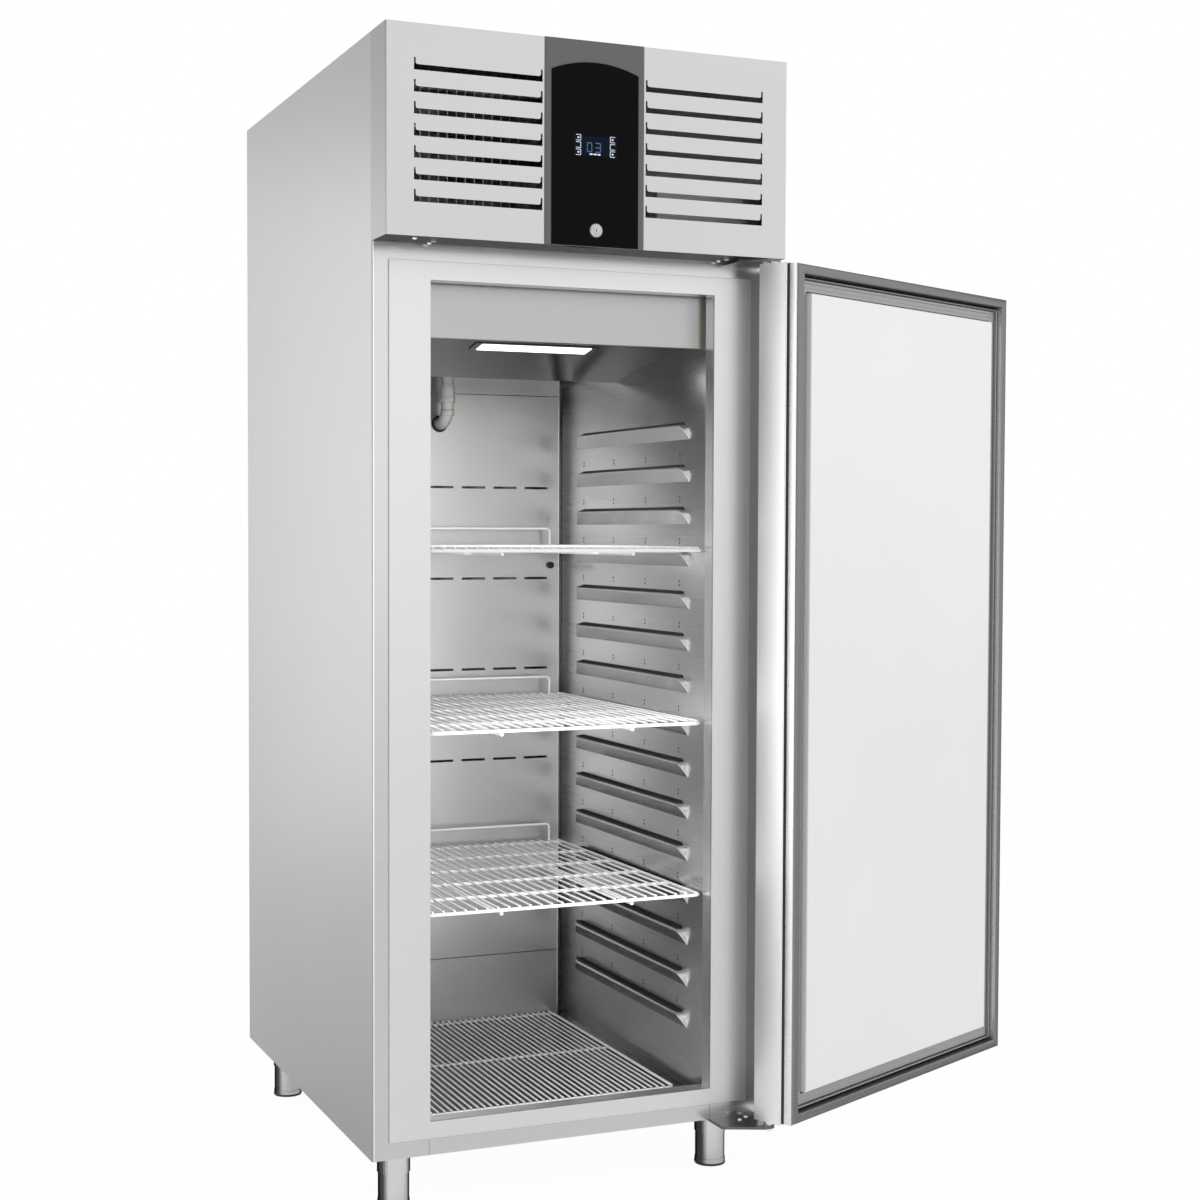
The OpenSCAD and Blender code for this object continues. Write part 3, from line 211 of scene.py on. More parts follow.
FINISH = {
    # outer sheets
    # Painted shade: the sides, back and top cover are the face's steel made darker
    "side": surface("brushed_side", (0.34, 0.34, 0.342), 0.36, VERT, vary=0.03),
    "face": surface("satin_face", (0.7, 0.7, 0.7), 0.38, VERT, vary=0.02),
    # Painted shade: the header is the face's steel made darker, its sideways cheeks darker still
    "header": surface("satin_header", (0.57, 0.57, 0.57), 0.38, SIDE, vary=0.02, painted_flank=0.5),
    "trim": surface("bright_trim", (0.6, 0.6, 0.604), 0.24, SIDE, vary=0.04),
    # Painted shade: the header's underside is the same steel made nearly black
    "under": surface("header_floor", (0.12, 0.12, 0.12), 0.16, SIDE, vary=0.04,
                     Specular_Tint=sheen(0.3)),
    # Painted light: the throat strips are the same steel made brighter than the face
    "jamb": surface("throat_sheet", (0.93, 0.93, 0.93), 0.26, VERT, vary=0.03),
    # Painted shade: the fascia, set back in the opening, is the same steel made darker
    "fascia": surface("fascia_sheet", (0.45, 0.45, 0.45), 0.34, SIDE, vary=0.02),
    # the door
    # Painted highlight: the shell's sideways faces are made brighter
    "door_skin": surface("door_shell", (0.62, 0.62, 0.622), 0.36, VERT, vary=0.01,
                         rough_vary=0.05, bump=0.04, cloud_vary=0.02, painted_flank=1.38),
    "profile": surface("edge_profile", (0.05, 0.05, 0.052), 0.5, metallic=0, vary=0.1),
    "door_panel": surface("door_panel", (0.8, 0.805, 0.81), 0.42, VERT, metallic=0.15,
                          vary=0.012, rough_vary=0.06, bump=0.05),
    # Painted highlight: the bulb's sideways faces are made nearly four times as bright as its dark
    # front
    "bulb": surface("gasket_bulb", (0.21, 0.21, 0.212), 0.30, MOULDED, metallic=0.85, vary=0.02,
                    bump=0.0, painted_flank=3.8, Specular_Tint=sheen(0.3)),
    "gasket": surface("gasket_rubber", (0.36, 0.36, 0.364), 0.32, MOULDED, metallic=0.6,
                      vary=0.04, bump=0.05, Specular_Tint=sheen(0.4)),
    # inner sheets
    "liner": surface("liner_sheet", (0.58, 0.58, 0.58), 0.27, DEEP, vary=0.03, rough_vary=0.08,
                     cloud=3.5, cloud_vary=0.08),
    # Painted light: the side walls are the liner's steel made brighter
    "ledges": surface("liner_pressed", (0.92, 0.92, 0.92), 0.30, DEEP, vary=0.04,
                      rough_vary=0.08, cloud=3.5, cloud_vary=0.08),
    "ledge_face": surface("ledge_face", (0.62, 0.62, 0.62), 0.24, DEEP, vary=0.04,
                          rough_vary=0.08),
    "duct": surface("duct_sheet", (0.71, 0.71, 0.705), 0.30, LONG, vary=0.01, rough_vary=0.05,
                    bump=0.04, cloud=4.0, cloud_vary=0.08),
    "guide": surface("air_guide_sheet", (0.14, 0.14, 0.138), 0.14, SIDE, vary=0.06, cloud=3.0,
                     cloud_vary=0.15),
    # Painted shade: the liner's floor is the same steel made nearly black
    "floor": surface("liner_floor", (0.09, 0.09, 0.088), 0.24, SIDE, vary=0.05, cloud=3.0,
                     cloud_vary=0.1),
    # Painted highlight: a brighter copy of the steel for rounded edges and folds, also used on some
    # screw heads
    "fold": surface("painted_highlight_steel", (0.97, 0.97, 0.97), 0.22, vary=0.02),
    # fittings and machinery
    # Painted shade: the legs' sideways faces are made much darker
    "leg": surface("polished_tube", (0.66, 0.66, 0.66), 0.16, ROUND, vary=0.04, painted_flank=0.12,
                   Specular_Tint=sheen(0.12)),
    "hinge": surface("hinge_plate", (0.17, 0.17, 0.172), 0.22, MOTTLED, vary=0.08, cloud=25,
                     cloud_vary=0.2),
    # Painted shade: the lock's edges are made darker where they turn away from the camera
    "lock": surface("lock_chrome", (0.50, 0.50, 0.50), 0.18, vary=0.04, painted_rim=0.5),
    "zinc": surface("zinc_sheet", (0.55, 0.56, 0.58), 0.38, MOTTLED, vary=0.10, cloud=25,
                    cloud_vary=0.2),
    "plated": surface("plated_steel", (0.80, 0.80, 0.80), 0.16, vary=0.03),
    "foam": surface("rigid_foam", (0.80, 0.72, 0.50), 0.9, metallic=0, vary=0.08, bump=0.4),
    "fins": surface("fin_sheet", (0.78, 0.79, 0.80), 0.35, vary=0.04),
    "copper": surface("copper_tube", (0.76, 0.42, 0.28), 0.28, vary=0.08, cloud=12,
                      cloud_vary=0.2),
    "black_paint": surface("black_paint", (0.018, 0.018, 0.019), 0.38, metallic=0, vary=0.2,
                           bump=0.1),
    "panel": surface("panel_paint", (0.11, 0.11, 0.11), 0.32, VERT, metallic=0.4, vary=0.05),
    "glass": surface("black_glass", (0.004, 0.004, 0.0045), 0.12, metallic=0, vary=0.05,
                     rough_vary=0.02, bump=0.01, Specular_IOR_Level=0.03),
    "display": surface("display_window", (0.006, 0.009, 0.018), 0.10, metallic=0, vary=0.1,
                       rough_vary=0.02, bump=0.01, Specular_IOR_Level=0.03),
    "rubber": surface("black_rubber", (0.012, 0.012, 0.012), 0.55, metallic=0, vary=0.2,
                      bump=0.3),
    "plastic": surface("black_plastic", (0.02, 0.02, 0.021), 0.45, metallic=0, vary=0.15,
                       bump=0.25),
    "white_plastic": surface("white_plastic", (0.80, 0.80, 0.78), 0.42, metallic=0, vary=0.03,
                             bump=0.1),
    # Painted shade: the drain's edges are made darker where they turn away from the camera
    "drain": surface("drain_plastic", (0.62, 0.62, 0.60), 0.26, metallic=0, vary=0.06, bump=0.1,
                     painted_rim=0.55),
    # Dark joints, and painted shade standing in for slots, holes and openings
    "joint_and_painted_shade": surface("dark_joint_and_painted_shade", (0.035, 0.035, 0.035), 0.5, metallic=0, vary=0.2,
                        Specular_IOR_Level=0.2),
    "wire": surface("white_coating", (0.96, 0.96, 0.95), 0.30, metallic=0, vary=0.02,
                    bump=0.12),
    # what is lit
    "lamp": glowing("lamp_light", (1.0, 0.99, 0.96), 2.2),
    "digit": glowing("blue_digit", (0.03, 0.09, 0.20), 0.45),
    "mark": glowing("pale_mark", (0.62, 0.66, 0.74), 0.55),
}

PAINT = {
    "side": "outer_side_left outer_side_right outer_back top_cover",
    "face": "front_frame",
    "fascia": "baffle_fascia",
    "jamb": "throat_strips",
    "under": "header_underside",
    "header": "header_left header_right",
    "trim": "front_edge_trim",
    "door_skin": "door_skin door_grip",
    "profile": "door_edge_profile",
    "liner": "liner_back liner_ceiling drip_tray",
    "floor": "liner_floor",
    "hinge": "hinge_plates",
    "lock": "lock_cylinder",
    "ledges": "liner_left liner_right",
    "duct": "duct_panel",
    "guide": "baffle_air_guide lamp_housing",
    "leg": "leg_tubes foot_front_left foot_front_right foot_back_left foot_back_right",
    "zinc": "base_pan machine_deck evaporator_fan_frame condenser_fan_frame",
    "plated": "header_screws lock_cam hinge_pins",
    "foam": "wall_foam door_foam",
    "fins": "evaporator_coil condenser_coil",
    "copper": "refrigerant_pipes",
    "black_paint": "compressor",
    "panel": "control_panel",
    "glass": "control_glass",
    "display": "display_window",
    "door_panel": "door_inner_panel",
    "gasket": "door_gasket",
    "rubber": "probe_plug",
    "plastic": "evaporator_fan condenser_fan cable_gland",
    "white_plastic": "control_box door_bushes",
    "drain": "drain_elbow",
    "lamp": "lamp_lens",
    "wire": "shelf_top shelf_middle shelf_bottom floor_rack",
}
for key, names in PAINT.items():
    for n in names.split():
        o = NODES[n]
        if not o.material_slots:
            o.data.materials.append(FINISH[key])
        for s in o.material_slots:
            s.material = FINISH[key]


# ---------- mesh helpers
def piece(name, bm, key, body, smooth=True):
    """A finished mesh as an object that rides its body."""
    me = bpy.data.meshes.new(name)
    bm.to_mesh(me)
    bm.free()
    if smooth:
        for p in me.polygons:
            p.use_smooth = True
    me.materials.append(FINISH[key])
    o = bpy.data.objects.new(name, me)
    scene.collection.objects.link(o)
    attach(o, body)
    return o


def shade_by_angle(o, degrees):
    """Smooth shading, with hard edges where two faces meet at more than the angle."""
    me = o.data
    bm = bmesh.new()
    bm.from_mesh(me)
    for e in bm.edges:
        e.smooth = len(e.link_faces) == 2 and e.calc_face_angle(0) < math.radians(degrees)
    for f in bm.faces:
        f.smooth = True
    bm.to_mesh(me)
    bm.free()


def strip(bm, rings):
    """The faces between rings of corners, and a cap on the first and the last ring."""
    n = len(rings[0])
    faces = [bm.faces.new(rings[0]), bm.faces.new(rings[-1])]
    for a, b in zip(rings, rings[1:]):
        faces += [bm.faces.new((a[i], a[(i + 1) % n], b[(i + 1) % n], b[i])) for i in range(n)]
    bmesh.ops.recalc_face_normals(bm, faces=faces)


def lathe(bm, profile, place, steps=48):
    """A closed turned part from (radius, height) pairs, put at a point or by a matrix."""
    if isinstance(place, tuple):
        place = Matrix.Translation(place)
    turn = [2 * math.pi * i / steps for i in range(steps)]
    strip(bm, [[bm.verts.new(place @ Vector((r * math.cos(a), r * math.sin(a), z)))
                for a in turn] for r, z in profile])


def facing(point, axis):
    """A matrix that stands a turned part on a point with its head toward an axis."""
    turn = {"-z": (math.pi, "X"), "z": (0, "X"), "-y": (math.pi / 2, "X"),
            "y": (-math.pi / 2, "X")}[axis]
    return Matrix.Translation(point) @ Matrix.Rotation(turn[0], 4, turn[1])


def block(bm, lo, hi, bevel=0.0):
    """A box between two corners, with its edges rounded if it has a bevel."""
    m = (Matrix.Translation([(a + b) / 2 for a, b in zip(lo, hi)])
         @ Matrix.Diagonal([b - a for a, b in zip(lo, hi)] + [1]))
    r = bmesh.ops.create_cube(bm, size=1, matrix=m)
    if bevel:
        edges = {e for v in r["verts"] for e in v.link_edges}
        bmesh.ops.bevel(bm, geom=list(edges), offset=bevel, segments=2, affect="EDGES",
                        profile=0.5)


def prism(bm, outline, axis, a, b):
    """A closed prism on an outline of point pairs; axis 0, 1 or 2 runs from a to b."""
    def at(p, h):
        c = list(p)
        c.insert(axis, h)
        return bm.verts.new(c)
    low, high = [at(p, a) for p in outline], [at(p, b) for p in outline]
    n = len(outline)
    faces = [bm.faces.new(low), bm.faces.new(list(reversed(high)))]
    faces += [bm.faces.new((low[i], high[i], high[(i + 1) % n], low[(i + 1) % n]))
              for i in range(n)]
    bmesh.ops.recalc_face_normals(bm, faces=faces)


def path(bm, points, closed=False):
    """A line of edges for the wirework tree."""
    v = [bm.verts.new(p) for p in points]
    for a, b in zip(v, v[1:] + v[:1] if closed else v[1:]):
        bm.edges.new((a, b))


def arc(cx, cy, r, a0, a1, n=5):
    """Points on a circle from one angle to another, in degrees."""
    turn = [math.radians(a0 + (a1 - a0) * i / n) for i in range(n + 1)]
    return [(cx + r * math.cos(a), cy + r * math.sin(a)) for a in turn]


# ---------- Geometry Nodes trees
def fields(name, **inputs):
    """A Geometry Nodes tree with a mesh in, named sizes and a finish, and a mesh out."""
    kinds = {int: "NodeSocketInt", float: "NodeSocketFloat", tuple: "NodeSocketVector"}
    tree = bpy.data.node_groups.new(name, "GeometryNodeTree")
    sock(tree, "Geometry", "NodeSocketGeometry", "INPUT")
    for key, value in inputs.items():
        sock(tree, key.replace("_", " "), kinds[type(value)], "INPUT", value)
    sock(tree, "Finish", "NodeSocketMaterial", "INPUT")
    sock(tree, "Geometry", "NodeSocketGeometry", "OUTPUT")
    return tree, tree.nodes.new("NodeGroupInput").outputs


def finish_fields(tree, given, made):
    real = node(tree, "GeometryNodeRealizeInstances", [(made, 0)])
    painted = node(tree, "GeometryNodeSetMaterial",
                   [(real.outputs[0], "Geometry"), (given["Finish"], "Material")])
    tree.links.new(painted.outputs[0], tree.nodes.new("NodeGroupOutput").inputs[0])
    return tree


def rows_tree():
    """The mesh put in is repeated in rows and columns."""
    t, given = fields("rows_of_parts", Count=1, Step=(0.0, 0.0, 0.1), Columns=1,
                      Column_Step=(0.0, 0.1, 0.0))
    whole = node(t, "GeometryNodeGeometryToInstance", [(given["Geometry"], 0)])
    across = node(t, "GeometryNodeMeshLine",
                  [(given["Columns"], "Count"), (given["Column Step"], "Offset")])
    row = node(t, "GeometryNodeInstanceOnPoints",
               [(across.outputs[0], "Points"), (whole.outputs[0], "Instance")])
    down = node(t, "GeometryNodeMeshLine", [(given["Count"], "Count"), (given["Step"], "Offset")])
    joined = node(t, "GeometryNodeGeometryToInstance", [(row.outputs[0], 0)])
    rows = node(t, "GeometryNodeInstanceOnPoints",
                [(down.outputs[0], "Points"), (joined.outputs[0], "Instance")])
    return finish_fields(t, given, rows.outputs[0])


def rods_tree():
    """Welded wirework: the edges put in become bent rods, and a row of wires with rounded ends
    is laid over them."""
    t, given = fields("coated_wirework", Rod=0.003, Bend=0.012, Wire=0.0019, Wires=0,
                      Start=(0.0, 0.0, 0.0), Pitch=(0.02, 0.0, 0.0), Run=(0.0, 0.648, 0.0),
                      Bead=1.15)

    def swept(line, radius, sides):
        ring = node(t, "GeometryNodeCurvePrimitiveCircle", [(radius, "Radius")],
                    i_Resolution=sides)
        return node(t, "GeometryNodeCurveToMesh", [(line.outputs[0], 0), (ring.outputs[0], 1)],
                    i_Fill_Caps=True)

    paths = node(t, "GeometryNodeMeshToCurve", [(given["Geometry"], 0)])
    bent = node(t, "GeometryNodeFilletCurve", [(paths.outputs[0], 0), (given["Bend"], "Radius")],
                mode="POLY", i_Count=4, i_Limit_Radius=True)
    rods = swept(bent, given["Rod"], 12)
    wire = swept(node(t, "GeometryNodeCurvePrimitiveLine", [(given["Run"], "End")]),
                 given["Wire"], 8)
    swell = combined(t, "MULTIPLY", given["Wire"], given["Bead"])
    bead = node(t, "GeometryNodeMeshUVSphere", [(swell, "Radius")], i_Segments=8, i_Rings=4)
    far_bead = node(t, "GeometryNodeTransform",
                    [(bead.outputs[0], 0), (given["Run"], "Translation")])
    one = node(t, "GeometryNodeJoinGeometry",
               [(wire.outputs[0], 0), (bead.outputs[0], 0), (far_bead.outputs[0], 0)])
    places = node(t, "GeometryNodeMeshLine",
                  [(given["Wires"], "Count"), (given["Start"], "Start Location"),
                   (given["Pitch"], "Offset")])
    laid = node(t, "GeometryNodeInstanceOnPoints",
                [(places.outputs[0], "Points"), (one.outputs[0], "Instance")])
    whole = node(t, "GeometryNodeJoinGeometry", [(rods.outputs[0], 0), (laid.outputs[0], 0)])
    return finish_fields(t, given, whole.outputs[0])


ROWS, RODS = rows_tree(), rods_tree()


def grown(name, bm, tree, key, **sizes):
    """The mesh that a tree makes from bm, as a bmesh again."""
    me = bpy.data.meshes.new(name + "_seed")
    bm.to_mesh(me)
    bm.free()
    o = bpy.data.objects.new(name + "_seed", me)
    scene.collection.objects.link(o)
    mod = o.modifiers.new("fields", "NODES")
    mod.node_group = tree
    named = {i.name: i.identifier for i in tree.interface.items_tree if i.in_out == "INPUT"}
    for k, v in sizes.items():
        mod[named[k.replace("_", " ")]] = v
    mod[named["Finish"]] = FINISH[key]
    bpy.context.view_layer.update()
    depsgraph = bpy.context.evaluated_depsgraph_get()
    made = bpy.data.meshes.new_from_object(o.evaluated_get(depsgraph))
    out = bmesh.new()
    out.from_mesh(made)
    bpy.data.objects.remove(o)
    bpy.data.meshes.remove(me)
    bpy.data.meshes.remove(made)
    return out


# ---------- wire shelves and the floor rack
WIRE = 0.0019
WIRE_INSET, WIRE_SHORT = 0.009, 0.001  # first wire from the side rod; ends inside the outline
BAIL_ROD, BAIL_BEND = 0.0025, 0.008


def wirework(name, lift, rod, crossings, wires, stays=None, bail=None):
    """A coated wire shelf: a bent frame, cross rods and a row of wires; stays below and a bail
    at the back if it has them. Its frame lies at a lift above the lowest point."""
    lo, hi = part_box(name)
    depth = hi.y - lo.y
    x, near, far, z = (hi.x - lo.x) / 2 - rod, lo.y + rod, lo.y + depth - rod, lo.z + lift
    bm = bmesh.new()
    path(bm, [(-x, near, z), (x, near, z), (x, far, z), (-x, far, z)], closed=True)
    for c in range(1, crossings):
        y = lo.y + depth * c / crossings
        path(bm, [(-x, y, z), (x, y, z)])
    for side in SIDES if stays else ():
        path(bm, [(side * stays, lo.y + 2 * WIRE_SHORT, z - 2 * rod),
                  (side * stays, far, z - 2 * rod)])
    half = x - WIRE_INSET
    out = grown(name, bm, RODS, "wire", Rod=rod, Wire=WIRE, Wires=wires,
                Start=(-half, lo.y + WIRE_SHORT, z + rod + WIRE),
                Pitch=(2 * half / (wires - 1), 0.0, 0.0), Run=(0.0, depth - 2 * WIRE_SHORT, 0.0))
    if bail:
        post, top = half * (wires - 3) / (wires - 1), z + rod + bail
        bm = bmesh.new()
        path(bm, [(-post, far, z), (-post, far, top), (post, far, top), (post, far, z)])
        bail_bm = grown("bail", bm, RODS, "wire", Rod=BAIL_ROD, Bend=BAIL_BEND)
        me = bpy.data.meshes.new("bail")
        bail_bm.to_mesh(me)
        bail_bm.free()
        out.from_mesh(me)
        bpy.data.meshes.remove(me)
    bmesh.ops.recalc_face_normals(out, faces=out.faces)
    o = piece("wires_" + name, out, "wire", name)
    shade_by_angle(o, 50)
    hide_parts(name)


for shelf in ("shelf_top", "shelf_middle", "shelf_bottom"):
    wirework(shelf, 0.009, 0.003, 5, 26, stays=0.1251, bail=0.0365)
wirework("floor_rack", 0.0025, 0.0025, 2, 39)

# ---------- side liners: a flat wall and pressed ledges whose front ends are rounded into it
SHEET = 0.0008
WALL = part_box("liner_right")[1].x - SHEET
LEDGES, LEDGE_PITCH, LEDGE_TOP = 15, 0.0782, 1.367
LEDGE_OUT, LEDGE_HIGH, LEDGE_FLAT = 0.016, 0.027, 0.12
LEDGE_FRONT, LEDGE_END, LEDGE_SLANT = -0.3225, 0.198, 0.038
WALL_BACK, WALL_CURVE = 0.018, 10
LIP_BACK, LIP_CURVE = 0.014, 3.4
OFF_WALL = 0.00005
DOWN = dict(Count=LEDGES, Step=(0.0, 0.0, -LEDGE_PITCH))
# The ledge's section: share of its height, distance out from the wall, drop below its top
NOSE = [(0.0, 0.0145, 0.0), (0.03, 0.0156, 0.0008), (0.07, LEDGE_OUT, 0.0022)]
NOSE += [(f, LEDGE_OUT * (1 - (f - LEDGE_FLAT) / (1 - LEDGE_FLAT)), LEDGE_HIGH * f)
         for f in (LEDGE_FLAT, 0.3, 0.5, 0.7, 0.85, 1.0)]


def lip_front(f):
    """Where the lip's front end stands at a share of the ledge's height."""
    return LEDGE_FRONT + LIP_BACK * (1 - f) ** LIP_CURVE


def ledge(bm, side, grow=0.0, slice_y=None):
    """One pressed ledge, or a thin slice of its front end laid a little proud of it."""
    rings = []
    for f, out, drop in NOSE:
        wall_y = LEDGE_FRONT + WALL_BACK * (1 - f) ** WALL_CURVE - grow
        lip_y = lip_front(f) - grow
        end_wall, end_lip = LEDGE_END, LEDGE_END - LEDGE_SLANT * out / LEDGE_OUT
        if slice_y:
            end_wall, end_lip = wall_y + slice_y, lip_y + slice_y
        z = LEDGE_TOP - drop + (grow if f == 0 else 0)
        corners = ((OFF_WALL, wall_y), (out + grow, lip_y), (out + grow, end_lip),
                   (OFF_WALL, end_wall))
        rings.append([bm.verts.new((side * (WALL - off), y, z)) for off, y in corners])
    strip(bm, rings)


for name, side in zip(("left", "right"), SIDES):
    bm = bmesh.new()
    ledge(bm, side)
    bm = grown("ledges_" + name, bm, ROWS, "ledge_face", **DOWN)
    ledges = piece("ledges_" + name, bm, "ledge_face", "cabinet")
    bm = bmesh.new()
    lo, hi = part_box("liner_" + name)
    x0, x1 = sorted((side * WALL, side * (WALL + SHEET)))
    block(bm, (x0, lo.y, lo.z), (x1, hi.y, hi.z), 0.0002)
    sheet = piece("liner_wall_" + name, bm, "ledges", "cabinet")
    for o in (ledges, sheet):
        shade_by_angle(o, 30)
        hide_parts("liner_" + name)

# The rounded lip of each ledge runs along its top edge and down its nose; its brightness is a
# painted highlight
bm = bmesh.new()
for side in SIDES:
    lip = [(side * (WALL - out), lip_front(f), LEDGE_TOP - drop) for f, out, drop in NOSE[2:]]
    path(bm, [(lip[0][0], LEDGE_END - LEDGE_SLANT, lip[0][2])] + lip)
bm = grown("ledge_lips", bm, RODS, "fold", Rod=0.0007, Bend=0.0)
bm = grown("ledge_lips", bm, ROWS, "fold", **DOWN)
piece("ledge_lips", bm, "fold", "cabinet")
# A thin slice of each ledge's front end in the bright finish: a painted highlight along its face
bm = bmesh.new()
for side in SIDES:
    ledge(bm, side, grow=0.00012, slice_y=0.0016)
bm = grown("ledge_noses", bm, ROWS, "fold", **DOWN)
shade_by_angle(piece("ledge_noses", bm, "fold", "cabinet"), 30)

# Painted shade: thin dark sheets on top of the ledges and in the wall over them stand for the shade
# in their openings
OPENING_LIP, OPENING_HIGH = 0.0035, 0.0055
bm = bmesh.new()
for side in SIDES:
    nose, wall = side * (WALL - LEDGE_OUT + OPENING_LIP), side * WALL
    front, back = LEDGE_FRONT + WALL_BACK, LEDGE_END - LEDGE_SLANT
    top = LEDGE_TOP + OPENING_HIGH
    prism(bm, [(wall, front + 0.001), (nose, LEDGE_FRONT + LIP_BACK + 0.001),
               (nose, back + 0.004), (wall, LEDGE_END - 0.002)],
          2, LEDGE_TOP, LEDGE_TOP + 0.00015)
    prism(bm, [(front, LEDGE_TOP), (front + 0.005, top), (back, top),
               (LEDGE_END - 0.006, LEDGE_TOP)], 0, wall, wall - side * 0.0002)
bm = grown("ledge_opening_shade", bm, ROWS, "joint_and_painted_shade", **DOWN)
piece("ledge_opening_shade", bm, "joint_and_painted_shade", "cabinet", smooth=False)

# Pairs of small punched holes between the ledges, drawn as dark discs on the wall: painted shade of
# the holes
HOLE = ((0.0024, 0.0), (0.0021, 0.0003), (0.0014, 0.0003), (0.0011, 0.0001))
HOLE_STEPS, HOLE_SQUASH, HOLE_HALF_GAP = 10, 0.8, 0.0034
HOLE_FRONT, HOLE_DROP, HOLE_COLUMNS, HOLE_STEP = -0.283, 0.0585, 4, 0.1482
bm = bmesh.new()
for side in SIDES:
    for up in (HOLE_HALF_GAP, -HOLE_HALF_GAP):
        middle = LEDGE_TOP - HOLE_DROP + up
        turn = [2 * math.pi * i / HOLE_STEPS for i in range(HOLE_STEPS)]
        strip(bm, [[bm.verts.new((side * (WALL - out),
                                  HOLE_FRONT + r * math.cos(a) * HOLE_SQUASH,
                                  middle + r * math.sin(a))) for a in turn] for r, out in HOLE])
bm = grown("punched_holes", bm, ROWS, "joint_and_painted_shade", Count=LEDGES - 1, Step=DOWN["Step"],
           Columns=HOLE_COLUMNS, Column_Step=(0.0, HOLE_STEP, 0.0))
piece("punched_holes", bm, "joint_and_painted_shade", "cabinet", smooth=False)


# ---------- folds, flanges and seams
def upright_folds(name, x, y, low, high, radius):
    """A pair of fine upright edges, one on each side, in a bright finish that paints their
    highlight.
    """
    bm = bmesh.new()
    for side in SIDES:
        path(bm, [(side * x, y, low), (side * x, y, high)])
    piece(name, grown(name, bm, RODS, "fold", Rod=radius, Bend=0.0), "fold", "cabinet")


# The slotted panel's rounded edges, bright with a painted highlight, and its return flanges in the
# gaps beside it, made dark to paint the shade in the gaps
PANEL_TOP, FLANGE, FLANGE_SHEET = 1.492, 0.010, 0.0004
lo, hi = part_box("duct_panel")
upright_folds("panel_folds", hi.x - 0.0012, lo.y - 0.0002, lo.z + 0.002, PANEL_TOP, 0.0014)
bm = bmesh.new()
for side in SIDES:
    a, b, y = side * (hi.x + 0.0003), side * (WALL - 0.0004), lo.y + 0.001
    back, inner = y + FLANGE, a - side * FLANGE_SHEET
    prism(bm, [(a, y), (a, back), (b, back), (b, back + FLANGE_SHEET),
               (inner, back + FLANGE_SHEET), (inner, y)], 2, lo.z + 0.002, PANEL_TOP)
piece("panel_flanges", bm, "guide", "cabinet", smooth=False)
# Bright folds down the trim's front corners: a painted highlight
lo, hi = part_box("front_edge_trim")
upright_folds("corner_folds", hi.x - 0.0003, lo.y + 0.0003, lo.z + 0.001, hi.z - 0.001, 0.0011)

# Fine dark seams where the trim's lengths meet, and under the machine cover
SEAM_X, SEAM_HALF, TRIM_HIGH = 0.2685, 0.0003, 0.0275
COVER_SEAM = [(0.3655, -0.4392), (0.318, -0.4412), (0.318, -0.4420), (0.3655, -0.4404)]
cover_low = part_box("header_underside")[0].z
bm = bmesh.new()
for side in SIDES:
    x0, x1 = side * SEAM_X - SEAM_HALF, side * SEAM_X + SEAM_HALF
    prism(bm, [(x0, lo.z), (x1, lo.z), (x1, lo.z + TRIM_HIGH), (x0, lo.z + TRIM_HIGH)],
          1, lo.y - 0.0001, lo.y)
    prism(bm, [(side * x, y) for x, y in COVER_SEAM], 2, cover_low - 0.00015, cover_low)
piece("seams", bm, "joint_and_painted_shade", "cabinet", smooth=False)

# ---------- small screw and bolt heads, all on the cabinet
HINGE = (0.3535, -0.4945)
PAN = [(0.0042, 0.0), (0.0042, 0.0006), (0.0036, 0.0016), (0.0024, 0.0022), (0.0014, 0.0023),
       (0.0011, 0.0012)]
HEX = [(0.0068, 0.0), (0.0068, 0.0034), (0.0060, 0.0040), (0.0036, 0.0041), (0.0033, 0.0036)]
PIN_END = [(0.0078, 0.0), (0.0078, 0.0022), (0.0068, 0.0042), (0.0044, 0.0058), (0.0015, 0.0063)]


def heads(name, spots, axis, profile, key, steps=16, **rows):
    """Turned heads on their spots, repeated in rows where sizes for rows are given."""
    bm = bmesh.new()
    for spot in spots:
        lathe(bm, profile, facing(spot, axis), steps)
    if rows:
        bm = grown(name, bm, ROWS, key, **rows)
    shade_by_angle(piece(name, bm, key, "cabinet"), 35)


heads("underside_screws", [(-0.312, -0.482, cover_low), (0.312, -0.482, cover_low),
                           (-0.272, -0.4385, cover_low), (0.272, -0.4385, cover_low)],
      "-z", PAN, "fold")
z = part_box("base_pan")[0].z - 0.001
heads("leg_plate_bolts", [(-0.2655, -0.4045, z), (-0.3475, -0.4045, z)], "-z", HEX, "plated",
      steps=6, Count=2, Step=(0.613, 0.0, 0.0), Columns=2, Column_Step=(0.0, 0.809, 0.0))
heads("back_screws", [(-0.352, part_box("outer_back")[1].y, 0.14)], "y", PAN, "plated",
      Count=8, Step=(0.0, 0.0, 0.2605), Columns=2, Column_Step=(0.704, 0.0, 0.0))
heads("top_screws", [(-0.345, -0.40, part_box("top_cover")[1].z)], "z", PAN, "plated",
      Count=2, Step=(0.69, 0.0, 0.0), Columns=5, Column_Step=(0.0, 0.2, 0.0))
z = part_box("hinge_plates")[0].z
heads("lower_hinge_ends", [(*HINGE, z)], "-z", PIN_END, "fold", steps=24)
heads("lower_hinge_screws", [(0.318, -0.452, z + 0.005), (0.3365, -0.4405, z + 0.005)], "z",
      PAN, "fold")

